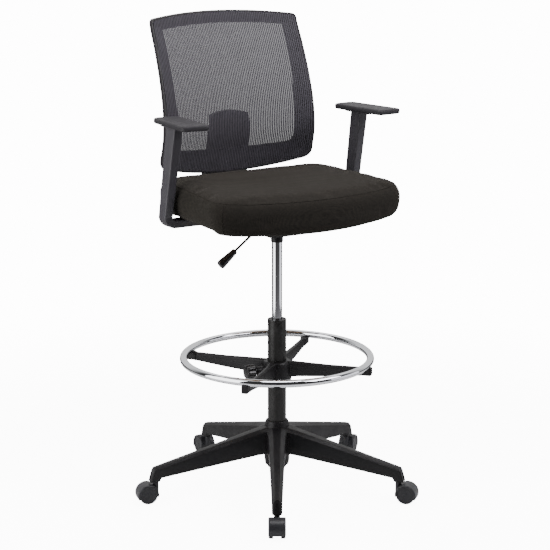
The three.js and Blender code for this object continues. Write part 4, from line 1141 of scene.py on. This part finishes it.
def edge_depth(z):
    """The depth of the back's side edge at height z, by a smooth curve through EDGE_DEPTHS."""
    place = edge_share(z) * (len(EDGE_DEPTHS) - 1)
    k = min(int(place), len(EDGE_DEPTHS) - 2)
    t = place - k
    b, c = EDGE_DEPTHS[k], EDGE_DEPTHS[k + 1]
    a = EDGE_DEPTHS[k - 1] if k else b
    d = EDGE_DEPTHS[k + 2] if k + 2 < len(EDGE_DEPTHS) else c
    start, end = (c - a) / 2, (d - b) / 2
    return (2 * b - 2 * c + start + end) * t ** 3 + (3 * c - 3 * b - 2 * start - end) * t * t + start * t + b


def back_depth(x, z):
    """The depth of the back's front face at a sideways place and height."""
    half = between(BACK_BOTTOM_HALF, BACK_TOP_HALF, edge_share(z))
    past = SLOPE_BELOW * min(0.0, z - EDGE_LOW) + SLOPE_ABOVE * max(0.0, z - EDGE_HIGH)
    return edge_depth(z) + past + BACK_CURVE * (1 - (x / half) ** 2)


def back_outline(sides, top, bottom, top_radius, bottom_radius, steps=6, runs=(36, 40)):
    """The back's outline from the front, inset by its bands. sides: a side band's upper and lower widths."""
    upper, lower = BACK_TOP_HALF - sides[0], BACK_BOTTOM_HALF - sides[1]
    corners = rounded([
        (upper, BACK_TOP - top, top_radius), (-upper, BACK_TOP - top, top_radius),
        (-lower, BACK_BOTTOM + bottom, bottom_radius), (lower, BACK_BOTTOM + bottom, bottom_radius)], steps)
    spread = []
    for i, (here, there) in enumerate(zip(corners, corners[1:] + corners[:1])):
        corner_end = i % (steps + 1) == steps
        count = runs[i // (steps + 1) % 2] if corner_end else 1
        spread += [here.lerp(there, k / count) for k in range(count)]
    outline = []
    for p in spread:
        arch = 1 - (p.x / BACK_BOTTOM_HALF) ** 2
        rise = BACK_CROWN * arch if p.y > BACK_MIDDLE else -BACK_BOW * arch
        outline.append((p.x, p.y + rise * min(1.0, abs(p.y - BACK_MIDDLE) / BOW_REACH) ** 2.2))
    return outline


def band_section(width):
    """The frame's section: (inwards from the outer edge, depth) points, with a lip that holds the mesh."""
    thick = FRAME_THICKNESS
    return rounded([
        (0.0, 0.003, 0.001), (0.0004, -0.0026, 0.0012), (0.0034, -0.0032, 0.0006), (0.0042, 0.0, 0.0006),
        (width - 0.0012, 0.0, 0.001), (width, 0.0022, 0.001), (width - 0.0012, thick - 0.002, 0.0015),
        (width - 0.004, thick, 0.0012), (width - 0.0075, thick, 0.0006),
        (width - 0.0085, thick - 0.004, 0.0015), (0.0085, thick - 0.004, 0.0015), (0.0075, thick, 0.0006),
        (0.004, thick, 0.0012), (0.0006, thick - 0.003, 0.002)], 3)


def back_frame():
    outer = back_outline((0, 0), 0, 0, 0.012, 0.024)
    inner = back_outline(FRAME_SIDES, FRAME_TOP, FRAME_BOTTOM, 0.004, 0.016)
    rings = []
    for (ox, oz), (nx, nz) in zip(outer, inner):
        width = math.hypot(nx - ox, nz - oz)
        ring = []
        for across, depth in band_section(width):
            x, z = ox + (nx - ox) * across / width, oz + (nz - oz) * across / width
            ring.append((x, back_depth(x, z) + depth, z))
        rings.append(ring)
    body = smooth(loft("back_frame_fine", rings, closed=True), 40)
    return dress(body, "seat", "back_plastic", BACK_PLASTIC, "back_frame")


def blend_sides(low, high, left, right, across, up):
    """A grid of points that fills four curved sides smoothly."""
    rows = []
    for j in range(up + 1):
        v = j / up
        row = []
        for i in range(across + 1):
            u = i / across
            corners = ((1 - u) * (1 - v) * low[0] + u * (1 - v) * low[-1]
                       + (1 - u) * v * high[0] + u * v * high[-1])
            row.append((1 - v) * low[i] + v * high[i] + (1 - u) * left[j] + u * right[j] - corners)
        rows.append(row)
    return rows


def resampled(points, count):
    """count + 1 points at even steps along a line of points."""
    lengths = [0.0]
    for a, b in zip(points, points[1:]):
        lengths.append(lengths[-1] + (b - a).length)
    result, k = [], 0
    for i in range(count + 1):
        want = lengths[-1] * i / count
        while k < len(points) - 2 and lengths[k + 1] < want:
            k += 1
        share = (want - lengths[k]) / (lengths[k + 1] - lengths[k])
        result.append(points[k].lerp(points[k + 1], share))
    return result


def back_mesh():
    """The stretched mesh: one thin curved sheet whose edge lies inside the frame's lip."""
    inset = 0.0044
    outline = [Vector(p) for p in back_outline((inset, inset), inset, inset, 0.0095, 0.0215)]
    corners = corner_indexes(outline)
    high, left, low, right = [
        outline[start:end + 1] if start < end else outline[start:] + outline[:end + 1]
        for start, end in zip(corners, corners[1:] + corners[:1])]
    across, up = 72, 60
    rows = blend_sides(resampled(low, across), resampled(high[::-1], across), resampled(left[::-1], up),
                       resampled(right, up), across, up)
    points, faces = [], []
    for depth in (MESH_FRONT, MESH_REAR):
        points += [(p.x, back_depth(p.x, p.y) + depth, p.y) for row in rows for p in row]
    layer, line = len(points) // 2, across + 1
    for j in range(up):
        for i in range(across):
            a = j * line + i
            face = (a, a + 1, a + line + 1, a + line)
            faces += [face, tuple(layer + k for k in reversed(face))]
    rim = [i for i in range(line)] + [j * line + across for j in range(1, up + 1)]
    rim += [up * line + i for i in range(across - 1, -1, -1)] + [j * line for j in range(up - 1, 0, -1)]
    faces += [(a, a + layer, b + layer, b) for a, b in zip(rim, rim[1:] + rim[:1])]
    mesh = smooth(add_piece("back_mesh_fine", points, faces), 50)
    dress(mesh, "seat", "back_mesh", KNIT, "back_mesh")
    return mesh


COVER_HALF, COVER_TAPER, COVER_ARCH = 0.067, 0.06, 0.009
COVER_LOW, COVER_TOP = 0.824, 1.003
COVER_OFFSET, COVER_THICKNESS = FRAME_THICKNESS + 0.0015, 0.0245
BAR_WIDTH, BAR_THICKNESS = 0.07, 0.008


def back_cover():
    """The moulded cover behind the frame, over the top of the back bar: a shallow box with eased edges."""
    upper = COVER_HALF - (COVER_TOP - COVER_LOW) * COVER_TAPER
    corners = rounded([(COVER_HALF, COVER_LOW, 0.004), (upper, COVER_TOP - COVER_ARCH, 0.003),
                       (-upper, COVER_TOP - COVER_ARCH, 0.003), (-COVER_HALF, COVER_LOW, 0.004)], 5)
    outline = spaced(corners, 0.008)
    middle = (COVER_LOW + COVER_TOP) / 2
    rear = COVER_THICKNESS
    levels = [(0.3, 0), (0.62, 0), (0.9, 0), (0.985, 0), (1.0, 0.001), (1.0, rear - 0.004),
              (0.985, rear - 0.001), (0.95, rear), (0.62, rear), (0.3, rear)]
    rings = []
    for shrink, rise in levels:
        ring = []
        for p in outline:
            arch = COVER_ARCH * (1 - (p.x / upper) ** 2) if p.y > middle else 0
            x, z = p.x * shrink, middle + (p.y - middle + arch) * shrink
            ring.append((x, back_depth(x, z) + COVER_OFFSET + rise, z))
        rings.append(ring)
    cover = loft("back_bar_cover_fine", rings)
    return dress(smooth(cover, 35), "seat", "back_plastic", BACK_PLASTIC, "back_bar_cover")


def back_bar():
    """Flat steel bar from under the seat board, round behind the seat and up the back."""
    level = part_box("mechanism_housing")[1].z - BAR_THICKNESS / 2
    behind = COVER_OFFSET + COVER_THICKNESS + 0.0012 + BAR_THICKNESS / 2
    line = [(0.098, level), (0.17, level), (0.25, level), (0.286, level + 0.012), (0.299, level + 0.042),
            (back_depth(0, 0.845) + behind + 0.003, 0.845)]
    line += [(back_depth(0, z) + behind, z) for z in (0.9, 0.945, 0.985)]
    path = curve_points([Vector(p) for p in line], 6)
    rings = []
    for i, p in enumerate(path):
        along = (path[min(i + 1, len(path) - 1)] - path[max(i - 1, 0)]).normalized()
        normal = Vector((-along.y, along.x))
        end = min(i, len(path) - 1 - i)
        half = BAR_WIDTH / 2 - (0.004, 0.0012, 0)[min(end, 2)]
        section = rounded_box(half, BAR_THICKNESS / 2, 0.0016, 3)
        rings.append([(u, p.x + normal.x * v, p.y + normal.y * v) for u, v in section])
    bar = loft("back_bar_fine", rings)
    return dress(smooth(bar, 35), "seat", "black_steel", BLACK_STEEL, "back_bar")


def make_back():
    back_frame()
    back_mesh()
    back_cover()
    back_bar()


# ---- mechanism


def make_mechanism():
    dress_node("mechanism_housing", BLACK_STEEL, 0.001)
    dress_node("seat_board", PLYWOOD, 0.0008)
    for name in ("lever_pivot_pin", *(f"mechanism_bolt_{k}" for k in range(1, 5))):
        dress_node(name, STEEL, 0.0004)


make_camera()
make_lights()
make_world()
make_floor()
make_base()
make_casters()
make_column()
make_spider()
make_lever()
make_seams(make_cushion())
make_armrests()
make_back()
make_mechanism()
